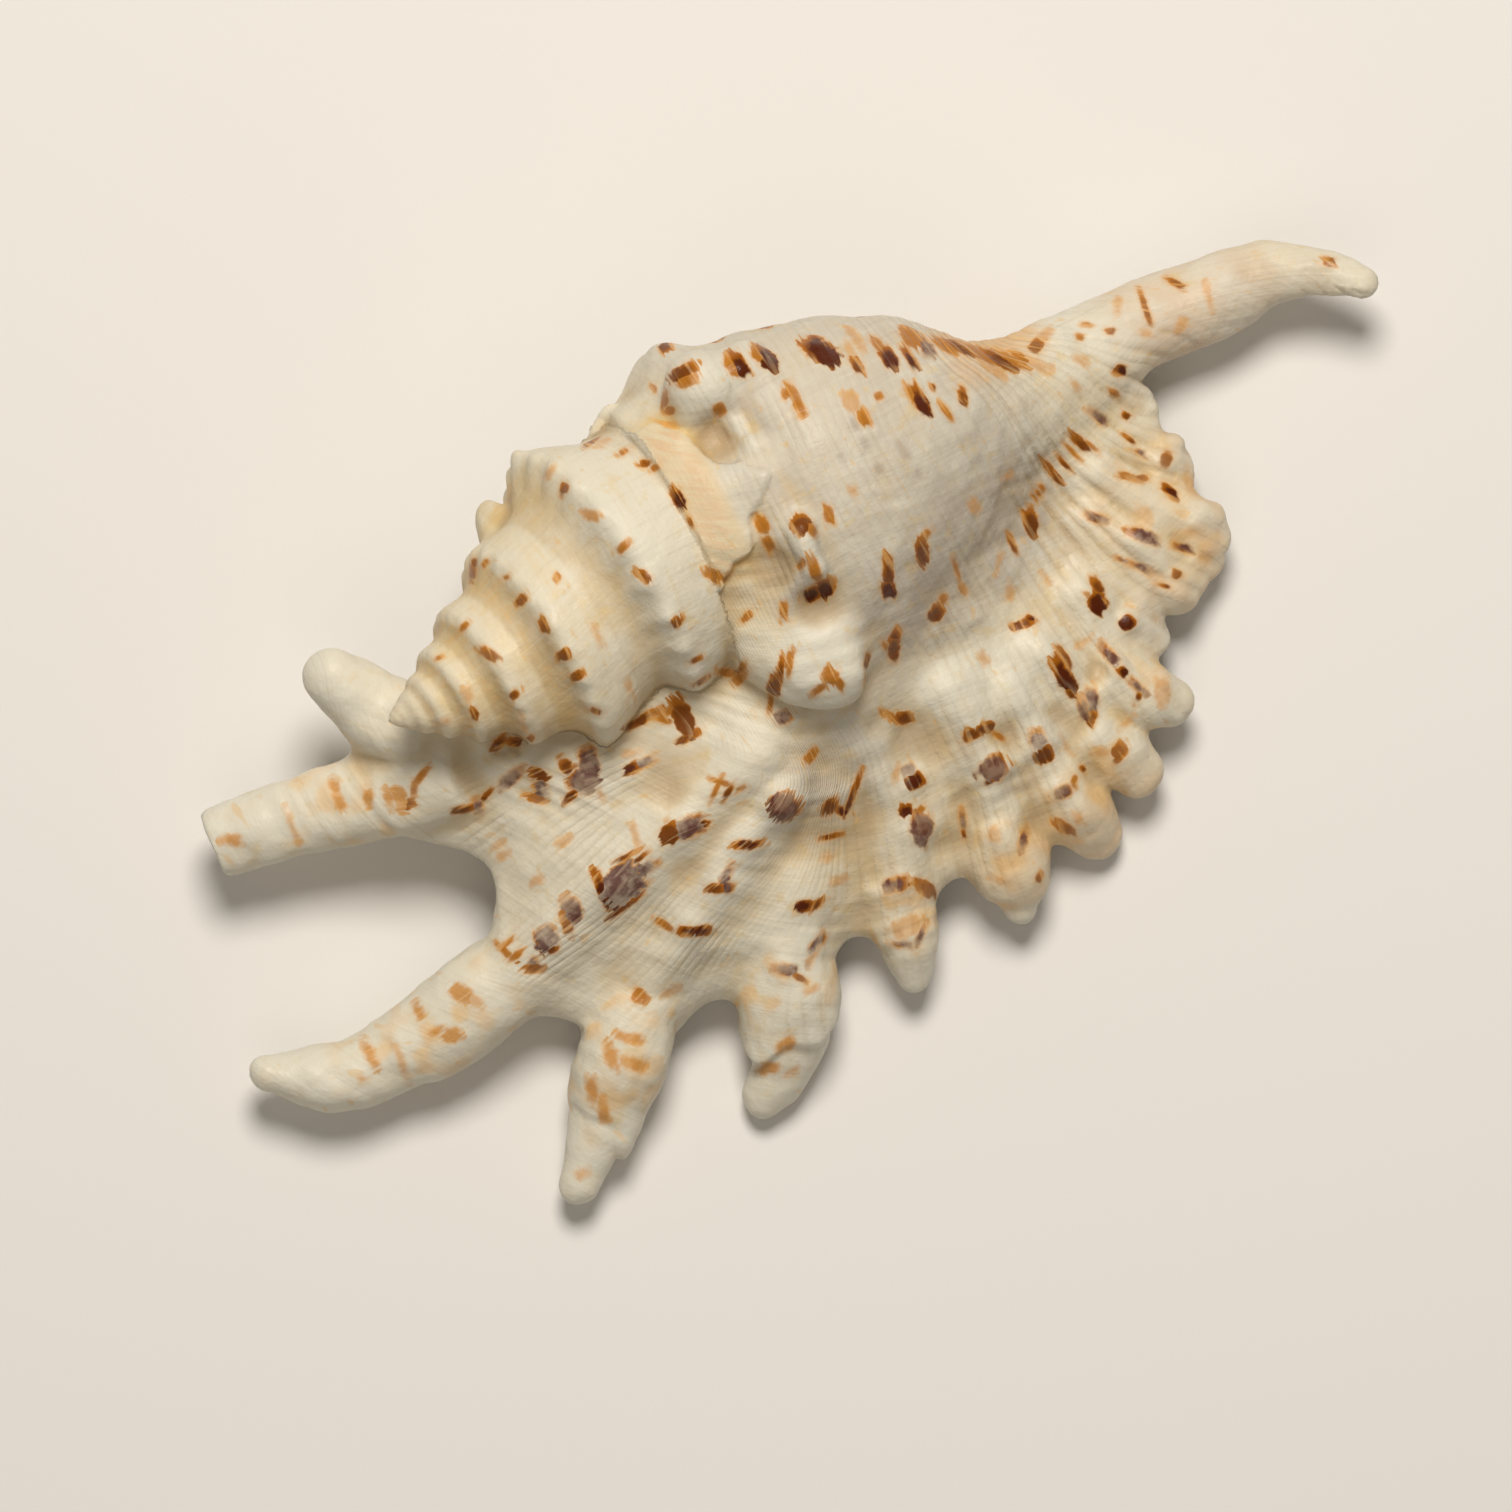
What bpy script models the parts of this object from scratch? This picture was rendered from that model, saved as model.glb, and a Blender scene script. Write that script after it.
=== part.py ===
"""Spider conch shell: a coiled body with a stepped spire, a flared lip with ten
digits and a beak-like siphonal canal, all grown as one piece.

The shell lies with its mouth down. The coil axis runs along +X from the apex
(-X) to the canal (+X), the lip spreads towards -Y and +Z is up. Lengths are in
millimetres until a mesh is made, and in metres from there on.
"""
import math

import bmesh
import bpy
import numpy as np
from mathutils import Vector

MM = 0.001
PLAN_CENTRE = (8.66, 4.16)

# Coil axis: starts at the apex and drops towards the canal.
APEX = (-33.0, 20.5, 28.0)
AXIS_SLOPE_Z = -0.23
SPIRE_AXIS = [(-33.0, 20.5), (-25.0, 20.3), (-20.0, 20.8), (-15.0, 21.5), (-10.0, 23.0),
              (-5.0, 24.4), (0.0, 24.8)]
SPIRE_WIDTH = 0.815
SPIRE_NARROWING = 0.0085
WHORL_GROWTH = 1.55
SUTURE_AT_TOP = 22.4
LAST_SUTURE = 35.2

# Radius of a spire whorl, as a share of the cone, from one suture to the next.
WHORL_PROFILE = [
    (0.00, 0.862), (0.10, 0.838), (0.20, 0.828), (0.30, 0.842), (0.40, 0.910), (0.46, 0.970),
    (0.51, 1.000), (0.58, 0.992), (0.72, 0.955), (0.88, 0.895), (1.00, 0.862),
]
# Extra width of the spire on its lip side, as a share, along the axis.
SPIRE_LIP_SIDE = [(0.0, 0.0), (15.0, 0.01), (20.5, 0.065), (25.5, 0.025), (31.5, -0.075),
                  (36.0, -0.09)]
SPIRE_FAR_SIDE = [(0.0, 0.0), (22.0, 0.0), (27.0, -0.02), (29.0, -0.07), (32.0, -0.115),
                  (36.0, -0.12)]

# Last whorl: axis x, axis y, radius up, towards the lip, down and away from it.
BODY_SECTIONS = [
    (1.2, 24.8, 15.0, 16.4, 14.8, 14.4),
    (4.5, 24.8, 16.8, 18.2, 17.0, 15.2),
    (7.0, 24.7, 17.8, 19.4, 18.2, 17.0),
    (9.2, 24.6, 18.6, 20.0, 19.2, 18.4),
    (13.0, 24.4, 19.8, 20.2, 18.5, 16.8),
    (17.0, 24.3, 20.3, 19.4, 17.2, 16.1),
    (20.0, 24.2, 20.0, 18.2, 15.9, 15.5),
    (25.0, 24.0, 18.6, 16.1, 13.4, 13.9),
    (30.0, 23.5, 16.0, 13.5, 11.0, 12.1),
    (35.0, 22.7, 12.4, 10.5, 9.0, 9.6),
    (38.5, 22.1, 9.6, 8.3, 7.7, 6.7),
    (42.0, 21.6, 7.2, 6.4, 6.3, 4.8),
    (47.0, 21.4, 5.4, 5.2, 5.2, 4.9),
]

# Two swellings of the spire's last keel, as for the whorl below.
SPIRE_KNOBS = [(-12.9, 0.700, 4.0, 1.7, 0.036), (-9.3, 0.770, 0.9, 1.8, 0.030)]
# Swellings of the last whorl: axis x, turn from the top, height, half length in
# millimetres and half width in turns. Those with a negative height are hollows.
KNOBS = [
    (8.6, 0.890, 3.2, 3.0, 0.028), (13.8, 0.893, 2.5, 2.3, 0.028),
    (9.4, 0.072, 2.7, 1.8, 0.030), (7.6, 0.184, 6.0, 5.4, 0.042),
    (8.4, 0.942, -1.7, 3.4, 0.030), (6.8, 0.035, -0.9, 1.8, 0.050),
    (3.8, 0.095, -0.9, 2.4, 0.040),
]

# Lip sheet: where each strip leaves the body, then where it ends in plan.
LIP_STRIPS = [
    ((-24.0, 22.0), (-36.5, 21.5)), ((-22.5, 20.0), (-39.0, 17.5)),
    ((-20.5, 18.5), (-38.0, 11.0)), ((-17.0, 17.5), (-31.5, 4.5)),
    ((-14.0, 16.5), (-30.6, 0.5)), ((-11.0, 16.0), (-33.6, -4.5)),
    ((-8.5, 15.5), (-34.5, -12.0)), ((-6.5, 15.0), (-30.2, -16.0)),
    ((-4.5, 14.5), (-27.5, -20.5)), ((-2.5, 14.0), (-21.5, -22.2)),
    ((0.5, 13.0), (-16.0, -21.2)), ((3.0, 12.5), (-9.5, -24.0)),
    ((5.0, 12.0), (-3.5, -23.2)), ((7.0, 12.0), (0.0, -22.2)),
    ((10.0, 12.0), (6.0, -23.5)), ((13.0, 12.0), (12.6, -21.1)),
    ((17.0, 12.5), (18.5, -23.0)), ((21.0, 13.0), (23.6, -22.2)),
    ((24.0, 13.5), (27.8, -22.0)), ((26.0, 14.0), (31.2, -19.4)),
    ((28.0, 14.5), (34.0, -18.2)), ((30.0, 15.0), (37.3, -16.0)),
    ((32.0, 15.5), (40.0, -13.5)), ((34.0, 16.0), (42.4, -9.8)),
    ((37.0, 16.5), (44.6, -5.8)), ((40.0, 17.0), (47.8, -6.8)),
    ((42.0, 17.5), (52.0, -3.8)), ((43.0, 18.0), (55.4, -0.6)),
    ((44.0, 18.5), (53.9, 3.6)), ((45.0, 19.0), (55.2, 7.4)),
    ((46.0, 19.5), (53.6, 11.2)), ((47.0, 20.0), (54.2, 15.6)),
]

# Height of the upper face of the lip at chosen places: x, y, z.
LIP_HEIGHTS = [
    (-38, 21, 15.0), (-38, 13, 12.5), (-33, 18, 19.0), (-28, 18, 25.0), (-22, 19, 26.0),
    (-33, 12, 15.2), (-28, 13, 20.5), (-30, 5, 14.6), (-31, 0, 12.4), (-34, -8, 11.5),
    (-25, 5, 18.0), (-22, 11, 22.6), (-17, 12, 23.6), (-20, 0, 17.6), (-20, -8, 14.6),
    (-29, -16, 9.5), (-20, -15, 11.0), (-18, -20, 8.8), (-14, 8, 22.8), (-8, 9, 23.4),
    (-10, 1, 20.4), (-10, -8, 16.4), (-10, -15, 13.0), (-10, -22, 9.0), (0, 9, 24.0),
    (0, 1, 22.0), (0, -8, 16.8), (0, -15, 14.0), (0, -21, 9.5), (10, 0, 23.5),
    (10, -6, 17.6), (10, -15, 14.2), (10, -21, 10.0), (20, 6, 24.5), (20, 0, 18.4),
    (20, -8, 16.4), (20, -15, 13.6), (20, -22, 9.0), (30, 9, 21.8), (30, 4, 17.6),
    (30, -3, 16.0), (30, -10, 13.8), (30, -16, 10.8), (31, -19, 8.8), (37, -15, 9.0),
    (41, -10, 10.0), (40, 13, 16.4), (40, 8, 13.6), (40, 0, 13.2), (45, -5, 10.5),
    (48, 1, 11.2), (48, 8, 11.6), (54, 0, 8.0), (54, 7, 8.5), (53, 13, 9.5),
    (46, 15, 12.5), (50, 18, 11.0),
]
LIP_EDGE_THICKNESS = 3.6
LIP_ROOT_THICKNESS = 8.0
LIP_THICKENS_OVER = 20.0

# Folds of the lip, knob to digit: path in plan, height and half width.
LIP_FOLDS = [
    ([(0, 0), (-10, -3), (-20, -5.5), (-34, -8.8)], 1.6, 3.2),
    ([(2, -5), (-5, -7.8), (-14, -13.3), (-28, -22)], 1.5, 2.8),
    ([(5, -8), (3, -11.2), (-2.5, -16.5), (-10, -26)], 1.5, 3.0),
    ([(10, -5), (11, -12), (8, -18.5), (5.3, -25)], 1.3, 2.6),
    ([(21, -3), (22, -9), (21, -15), (18.3, -24)], 1.5, 3.0),
    ([(27, -6), (27.5, -13), (27.8, -22)], 1.1, 2.3),
    ([(32, -3), (33.5, -10), (34.5, -18)], 1.2, 2.4),
    ([(38, 0), (38.6, -8), (41, -14)], 1.2, 2.2),
    ([(43, 6), (47, 0), (48, -5)], 0.9, 2.0),
    ([(46, 10), (50, 4), (54, 0)], 0.9, 2.0),
]

# Digits and canal: centre line points with the radius at each.
DIGITS = [
    [(-30.0, 18, 16.0, 3.6), (-33.0, 21.4, 15.2, 4.4), (-34.7, 25.0, 16.2, 3.7),
     (-35.9, 27.5, 17.2, 3.0)],
    [(-28, 12.6, 15.0, 4.0), (-37, 14.3, 11.4, 4.7), (-44, 15.9, 9.8, 4.2),
     (-50, 17.1, 9.0, 4.0), (-55.4, 17.6, 8.6, 3.7)],
    [(-27, -7.4, 10.5, 3.4), (-36, -9.2, 8.2, 4.6), (-42, -10.4, 7.0, 4.5),
     (-48, -10.9, 6.2, 4.0), (-53, -10.6, 6.0, 3.9), (-57.5, -8.8, 6.4, 3.5),
     (-61.0, -6.6, 7.2, 2.2)],
    [(-22, -16.8, 8.8, 2.8), (-26.9, -22.0, 6.8, 4.3), (-31.0, -25.7, 5.4, 3.6),
     (-34.4, -29.2, 4.6, 2.7), (-37.3, -32.0, 4.2, 2.0)],
    [(-5.8, -17.5, 9.4, 2.8), (-8.6, -24.4, 6.2, 5.0), (-11.0, -28.8, 4.2, 4.2),
     (-12.8, -31.0, 3.3, 3.3), (-15.3, -32.3, 2.3, 2.5)],
    [(6.6, -18, 10.2, 2.4), (5.8, -23.5, 6.8, 3.5), (4.9, -26.6, 5.4, 2.5),
     (4.2, -28.7, 4.8, 1.6)],
    [(19.4, -17, 10.2, 2.6), (18.4, -22.6, 6.8, 4.2), (17.9, -25.4, 5.4, 3.1),
     (17.4, -26.9, 5.0, 1.9)],
    [(27.0, -15.5, 9.6, 2.4), (27.7, -20.6, 5.8, 3.6), (28.4, -23.7, 2.6, 2.7)],
    [(32.8, -13, 9.4, 2.4), (34.3, -17.2, 6.6, 3.3), (35.1, -19.7, 5.4, 2.5)],
    [(36.5, -8.5, 10.2, 2.4), (39.9, -13.2, 7.2, 3.3), (41.6, -14.7, 6.2, 2.5)],
]
CANAL = [
    (38.0, 21.9, 11.4, 6.0), (45.0, 21.4, 9.9, 5.3), (50.0, 21.6, 8.6, 5.3),
    (56.0, 22.2, 7.4, 4.5), (62.0, 21.5, 6.8, 4.4), (67.0, 21.4, 7.0, 4.0),
    (71.5, 21.0, 7.6, 3.2), (75.0, 19.4, 8.6, 2.6), (78.3, 16.8, 9.8, 2.2),
    (79.6, 15.6, 10.2, 1.8),
]

# Mouth: x, outer and inner wall in y at the axis, roof height, gap over the pillar.
# MOUTH_LEAN: how far the two walls lean towards the lip on their way down.
MOUTH_SECTIONS = [
    (1.5, 11.2, 14.4, 26.5, 4.0), (5.0, 9.2, 13.6, 29.5, 5.5), (10.0, 7.6, 13.4, 31.0, 6.5),
    (16.0, 7.8, 13.6, 31.2, 6.5), (22.0, 9.8, 15.2, 29.8, 6.0), (28.0, 12.2, 16.8, 26.0, 5.0),
    (34.0, 14.8, 18.4, 20.8, 4.0),
]
MOUTH_LEAN = (6.0, 4.0)
MOUTH_CURL_START = 96.0
MOUTH_CURL_END = 18.0
# Slot of the mouth, seen from below: x, y, z and half width.
MOUTH_SLOT = [
    (-15.0, 7.0, 12.5, 1.6), (-8.0, 5.8, 13.0, 3.0), (0.0, 5.4, 13.6, 4.3),
    (9.0, 5.6, 14.0, 4.9), (17.0, 6.4, 13.2, 4.8), (25.0, 8.8, 10.8, 4.3),
    (32.0, 12.2, 8.4, 3.5), (38.0, 15.8, 6.2, 2.8), (43.0, 18.6, 4.6, 2.3),
]
CANAL_GROOVE = [
    (38.0, 17.5, 5.0, 2.6), (46.0, 19.6, 3.6, 2.3), (56.0, 21.4, 1.8, 2.1),
    (66.0, 20.9, 1.6, 1.9), (73.0, 20.0, 3.8, 1.3), (77.5, 17.0, 6.8, 1.0),
]

VOXEL = 0.85
FACE_BUDGET = 9200
FLOOR_DEPTH = 10.0

SHELL_COLOUR = (0.74, 0.64, 0.48, 1.0)
SHELL_ROUGHNESS = 0.42


def clear_scene():
    for item in list(bpy.data.objects):
        bpy.data.objects.remove(item, do_unlink=True)


def make_collection(name):
    group = bpy.data.collections.new(name)
    bpy.context.scene.collection.children.link(group)
    return group


def add_mesh_object(name, points_mm, faces, group):
    """Make an object from points in millimetres and a list of faces."""
    mesh = bpy.data.meshes.new(name)
    shift = Vector((PLAN_CENTRE[0], PLAN_CENTRE[1], 0.0))
    mesh.from_pydata([(Vector(p) - shift) * MM for p in points_mm], [], faces)
    work = bmesh.new()
    work.from_mesh(mesh)
    bmesh.ops.remove_doubles(work, verts=work.verts, dist=0.00001)
    bmesh.ops.recalc_face_normals(work, faces=work.faces)
    work.to_mesh(mesh)
    work.free()
    item = bpy.data.objects.new(name, mesh)
    group.objects.link(item)
    return item


def smooth_table(table, column, at):
    """Read one column of a table at given first-column values, without corners."""
    xs = np.array([row[0] for row in table], float)
    ys = np.array([row[column] for row in table], float)
    slope = np.gradient(ys, xs)
    at = np.clip(at, xs[0], xs[-1])
    i = np.clip(np.searchsorted(xs, at) - 1, 0, len(xs) - 2)
    width = xs[i + 1] - xs[i]
    t = (at - xs[i]) / width
    rise = ys[i + 1] - ys[i]
    a = slope[i] * width - rise
    b = rise - slope[i + 1] * width
    return (1 - t) * ys[i] + t * ys[i + 1] + t * (1 - t) * (a * (1 - t) + b * t)


def thin_plate(points):
    """Height function of a thin plate bent through the given points."""
    table = np.array(points, float)
    xy = table[:, :2]
    count = len(xy)
    gap = np.hypot(*(xy[:, None, :] - xy[None, :, :]).transpose(2, 0, 1))
    system = np.zeros((count + 3, count + 3))
    system[:count, :count] = gap**2 * np.log(gap + 1e-9)
    system[:count, count] = 1.0
    system[:count, count + 1:] = xy
    system[count:, :count] = system[:count, count:].T
    weights = np.linalg.solve(system, np.append(table[:, 2], [0.0, 0.0, 0.0]))

    def height(x, y):
        reach = np.hypot(x - xy[:, 0], y - xy[:, 1])
        bend = np.sum(weights[:count] * reach**2 * np.log(reach + 1e-9))
        return bend + weights[count] + weights[count + 1] * x + weights[count + 2] * y

    return height


def distance_to_path(x, y, path):
    best = 1e9
    for (ax, ay), (bx, by) in zip(path, path[1:]):
        length = (bx - ax)**2 + (by - ay)**2
        t = max(0.0, min(1.0, ((x - ax) * (bx - ax) + (y - ay) * (by - ay)) / length))
        best = min(best, math.hypot(x - ax - t * (bx - ax), y - ay - t * (by - ay)))
    return best


def lip_folds(x, y):
    """Extra height of the folds that run from the knobs out to the digits."""
    total = 0.0
    for path, height, half_width in LIP_FOLDS:
        near = distance_to_path(x, y, path) / half_width
        total = max(total, height * math.exp(-near * near))
    return total


def spire_radius(s, turn):
    """Radius of the stepped cone at distance s from the apex; turn is 0 at the top."""
    whorl = math.log(max(s, 0.3) / SUTURE_AT_TOP) / math.log(WHORL_GROWTH) - turn
    share = float(smooth_table(WHORL_PROFILE, 1, whorl - math.floor(whorl)))
    from_lip = ((turn + 0.25) % 1.0 - 0.5) / 0.11
    from_far = ((turn - 0.25) % 1.0 - 0.5) / 0.13
    share += float(smooth_table(SPIRE_LIP_SIDE, 1, s)) * math.exp(-from_lip * from_lip)
    share += float(smooth_table(SPIRE_FAR_SIDE, 1, s)) * math.exp(-from_far * from_far)
    return (SPIRE_WIDTH - SPIRE_NARROWING * s) * s * share


def body_radius(x, turn):
    """Radius of the last whorl at axis position x, blended between four sides."""
    sides = [float(smooth_table(BODY_SECTIONS, k, x)) for k in (2, 3, 4, 5)]
    quarter = (turn % 1.0) * 4.0
    first = int(quarter) % 4
    t = quarter - int(quarter)
    ease = t * t * (3.0 - 2.0 * t)
    return sides[first] * (1.0 - ease) + sides[(first + 1) % 4] * ease


def knob_height(knobs, x, turn):
    """How far the knobs lift the wall of the coil."""
    total = 0.0
    for knob_x, knob_turn, height, half_length, half_turn in knobs:
        along = (x - knob_x) / half_length
        across = ((turn - knob_turn + 0.5) % 1.0 - 0.5) / half_turn
        total += height * math.exp(-along**4 - abs(across)**2.6)
    return total


def coil_point(x, turn):
    """Point on the coiled wall, with sections square to the sloping axis."""
    s = (x - APEX[0]) * math.sqrt(1.0 + AXIS_SLOPE_Z**2)
    if s < LAST_SUTURE:
        y = float(smooth_table(SPIRE_AXIS, 1, x))
        radius = spire_radius(s, turn) + knob_height(SPIRE_KNOBS, x, turn)
    else:
        y = float(smooth_table(BODY_SECTIONS, 1, x))
        radius = body_radius(x, turn) + knob_height(KNOBS, x, turn)
    z = APEX[2] + AXIS_SLOPE_Z * (x - APEX[0])
    tilt = math.atan(AXIS_SLOPE_Z)
    angle = 2.0 * math.pi * turn
    rise = radius * math.cos(angle)
    return (x - rise * math.sin(tilt), y - radius * math.sin(angle),
            z + rise * math.cos(tilt))


def build_coil(group):
    """Spire and last whorl: a loft of unlike sections along the coil axis."""
    around = 96
    steps_spire = np.linspace(0.4, 32.9, 84)
    steps_body = np.linspace(34.3, 80.0, 70)
    stations = [APEX[0] + step for step in np.append(steps_spire, steps_body)]
    points = [coil_point(x, k / around) for x in stations for k in range(around)]
    faces = []
    for row in range(len(stations) - 1):
        for k in range(around):
            a = row * around + k
            b = row * around + (k + 1) % around
            faces.append((a, b, b + around, a + around))
    faces.append(tuple(range(around)))
    last = (len(stations) - 1) * around
    faces.append(tuple(last + k for k in range(around)))
    return add_mesh_object("coil", points, faces, group)


def build_lip(group):
    """Flared lip: a sheet lofted from the body to its scalloped edge."""
    height = thin_plate(LIP_HEIGHTS)
    along = 124
    across = 26
    index = np.arange(len(LIP_STRIPS), dtype=float)
    ends = np.array([root + edge for root, edge in LIP_STRIPS])
    table = [(i, *row) for i, row in zip(index, ends)]
    top = []
    bottom = []
    for u in np.linspace(0.0, index[-1], along):
        x0, y0, x1, y1 = [float(smooth_table(table, k, u)) for k in (1, 2, 3, 4)]
        reach = math.hypot(x1 - x0, y1 - y0)
        for t in np.linspace(0.0, 1.0, across):
            x = x0 + (x1 - x0) * t
            y = y0 + (y1 - y0) * t
            z = height(x, y) + lip_folds(x, y)
            inward = min(1.0, (1.0 - t) * reach / LIP_THICKENS_OVER)
            thick = LIP_EDGE_THICKNESS + (LIP_ROOT_THICKNESS - LIP_EDGE_THICKNESS) * inward
            edge = max(0.0, 1.0 - (1.0 - t) * reach / 2.0)
            droop = 1.1 * edge * edge
            top.append((x, y, z - droop))
            bottom.append((x, y, z - thick + droop))
    offset = along * across
    faces = []
    for row in range(along - 1):
        for k in range(across - 1):
            a = row * across + k
            faces.append((a, a + 1, a + 1 + across, a + across))
            faces.append((a + offset, a + across + offset, a + 1 + across + offset,
                          a + 1 + offset))
    rim = [k for k in range(across)]
    rim += [row * across + across - 1 for row in range(1, along)]
    rim += [(along - 1) * across + k for k in range(across - 2, -1, -1)]
    rim += [row * across for row in range(along - 2, 0, -1)]
    for a, b in zip(rim, rim[1:] + rim[:1]):
        faces.append((a, b, b + offset, a + offset))
    return add_mesh_object("lip", top + bottom, faces, group)


def build_tube(name, path, group):
    """Round horn along a curve, with its own radius at every point."""
    curve = bpy.data.curves.new(name, "CURVE")
    curve.dimensions = "3D"
    curve.bevel_depth = MM
    curve.bevel_resolution = 6
    curve.resolution_u = 8
    curve.use_fill_caps = True
    spline = curve.splines.new("BEZIER")
    spline.bezier_points.add(len(path) - 1)
    for knot, (x, y, z, radius) in zip(spline.bezier_points, path):
        knot.co = ((x - PLAN_CENTRE[0]) * MM, (y - PLAN_CENTRE[1]) * MM, z * MM)
        knot.handle_left_type = "AUTO"
        knot.handle_right_type = "AUTO"
        knot.radius = radius
    source = bpy.data.objects.new(name + "_curve", curve)
    group.objects.link(source)
    bpy.context.view_layer.update()
    mesh = bpy.data.meshes.new_from_object(source)
    bpy.data.objects.remove(source, do_unlink=True)
    item = bpy.data.objects.new(name, mesh)
    group.objects.link(item)
    work = bmesh.new()
    work.from_mesh(mesh)
    bmesh.ops.remove_doubles(work, verts=work.verts, dist=0.00001)
    bmesh.ops.recalc_face_normals(work, faces=work.faces)
    work.to_mesh(mesh)
    work.free()
    return item


def build_ball(name, centre, half_sizes, group):
    mesh = bpy.data.meshes.new(name)
    work = bmesh.new()
    bmesh.ops.create_icosphere(work, subdivisions=3, radius=1.0)
    for vert in work.verts:
        vert.co = Vector((
            (centre[0] - PLAN_CENTRE[0] + vert.co.x * half_sizes[0]) * MM,
            (centre[1] - PLAN_CENTRE[1] + vert.co.y * half_sizes[1]) * MM,
            (centre[2] + vert.co.z * half_sizes[2]) * MM,
        ))
    work.to_mesh(mesh)
    work.free()
    item = bpy.data.objects.new(name, mesh)
    group.objects.link(item)
    return item


def build_mouth(group):
    """Hollow of the mouth: it rises beside the pillar and curls over it."""
    points = []
    arc = 14
    for x, outer, inner, roof, gap in MOUTH_SECTIONS:
        y = float(smooth_table(BODY_SECTIONS, 1, x))
        z = APEX[2] + AXIS_SLOPE_Z * (x - APEX[0])
        ring = [(x, outer - MOUTH_LEAN[0], z - 12.0)]
        for k in range(arc + 1):
            share = k / arc
            angle = math.radians(MOUTH_CURL_START * (1.0 - share) + MOUTH_CURL_END * share)
            ring.append((x, y - (y - outer) * math.sin(angle),
                         z + (roof - z) * math.cos(angle)))
        for k in range(arc + 1):
            share = 1.0 - k / arc
            angle = math.radians(MOUTH_CURL_START * (1.0 - share) + MOUTH_CURL_END * share)
            ring.append((x, y - (y - inner) * math.sin(angle),
                         z + (roof - gap - z) * math.cos(angle)))
        ring.append((x, inner - MOUTH_LEAN[1], z - 12.0))
        points += ring
    size = len(points) // len(MOUTH_SECTIONS)
    faces = []
    for row in range(len(MOUTH_SECTIONS) - 1):
        for k in range(size):
            a = row * size + k
            b = row * size + (k + 1) % size
            faces.append((a, b, b + size, a + size))
    faces.append(tuple(range(size)))
    last = (len(MOUTH_SECTIONS) - 1) * size
    faces.append(tuple(last + k for k in range(size)))
    return add_mesh_object("mouth_curl", points, faces, group)


def add_modifier(item, name, kind, **settings):
    step = item.modifiers.new(name, kind)
    for key, value in settings.items():
        setattr(step, key, value)
    return step


def apply_modifiers(item):
    bpy.context.view_layer.update()
    graph = bpy.context.evaluated_depsgraph_get()
    mesh = bpy.data.meshes.new_from_object(item.evaluated_get(graph))
    item.modifiers.clear()
    item.data = mesh


def join_all(name, items, group):
    work = bmesh.new()
    for item in items:
        work.from_mesh(item.data)
    mesh = bpy.data.meshes.new(name)
    work.to_mesh(mesh)
    work.free()
    for item in items:
        bpy.data.objects.remove(item, do_unlink=True)
    joined = bpy.data.objects.new(name, mesh)
    group.objects.link(joined)
    return joined


def hide_helper(item):
    item.hide_render = True
    item.display_type = "WIRE"


def shell_material():
    material = bpy.data.materials.new("shell_lime")
    material.use_nodes = True
    surface = material.node_tree.nodes["Principled BSDF"]
    surface.inputs["Base Color"].default_value = SHELL_COLOUR
    surface.inputs["Roughness"].default_value = SHELL_ROUGHNESS
    surface.inputs["Metallic"].default_value = 0.0
    return material


def centre_on_origin(item):
    """Put the middle of the plan on the Z axis and the lowest point at zero."""
    corners = np.array([vert.co for vert in item.data.vertices])
    low = corners.min(axis=0)
    high = corners.max(axis=0)
    shift = Vector((-(low[0] + high[0]) / 2.0, -(low[1] + high[1]) / 2.0, -low[2]))
    for vert in item.data.vertices:
        vert.co += shift


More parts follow.
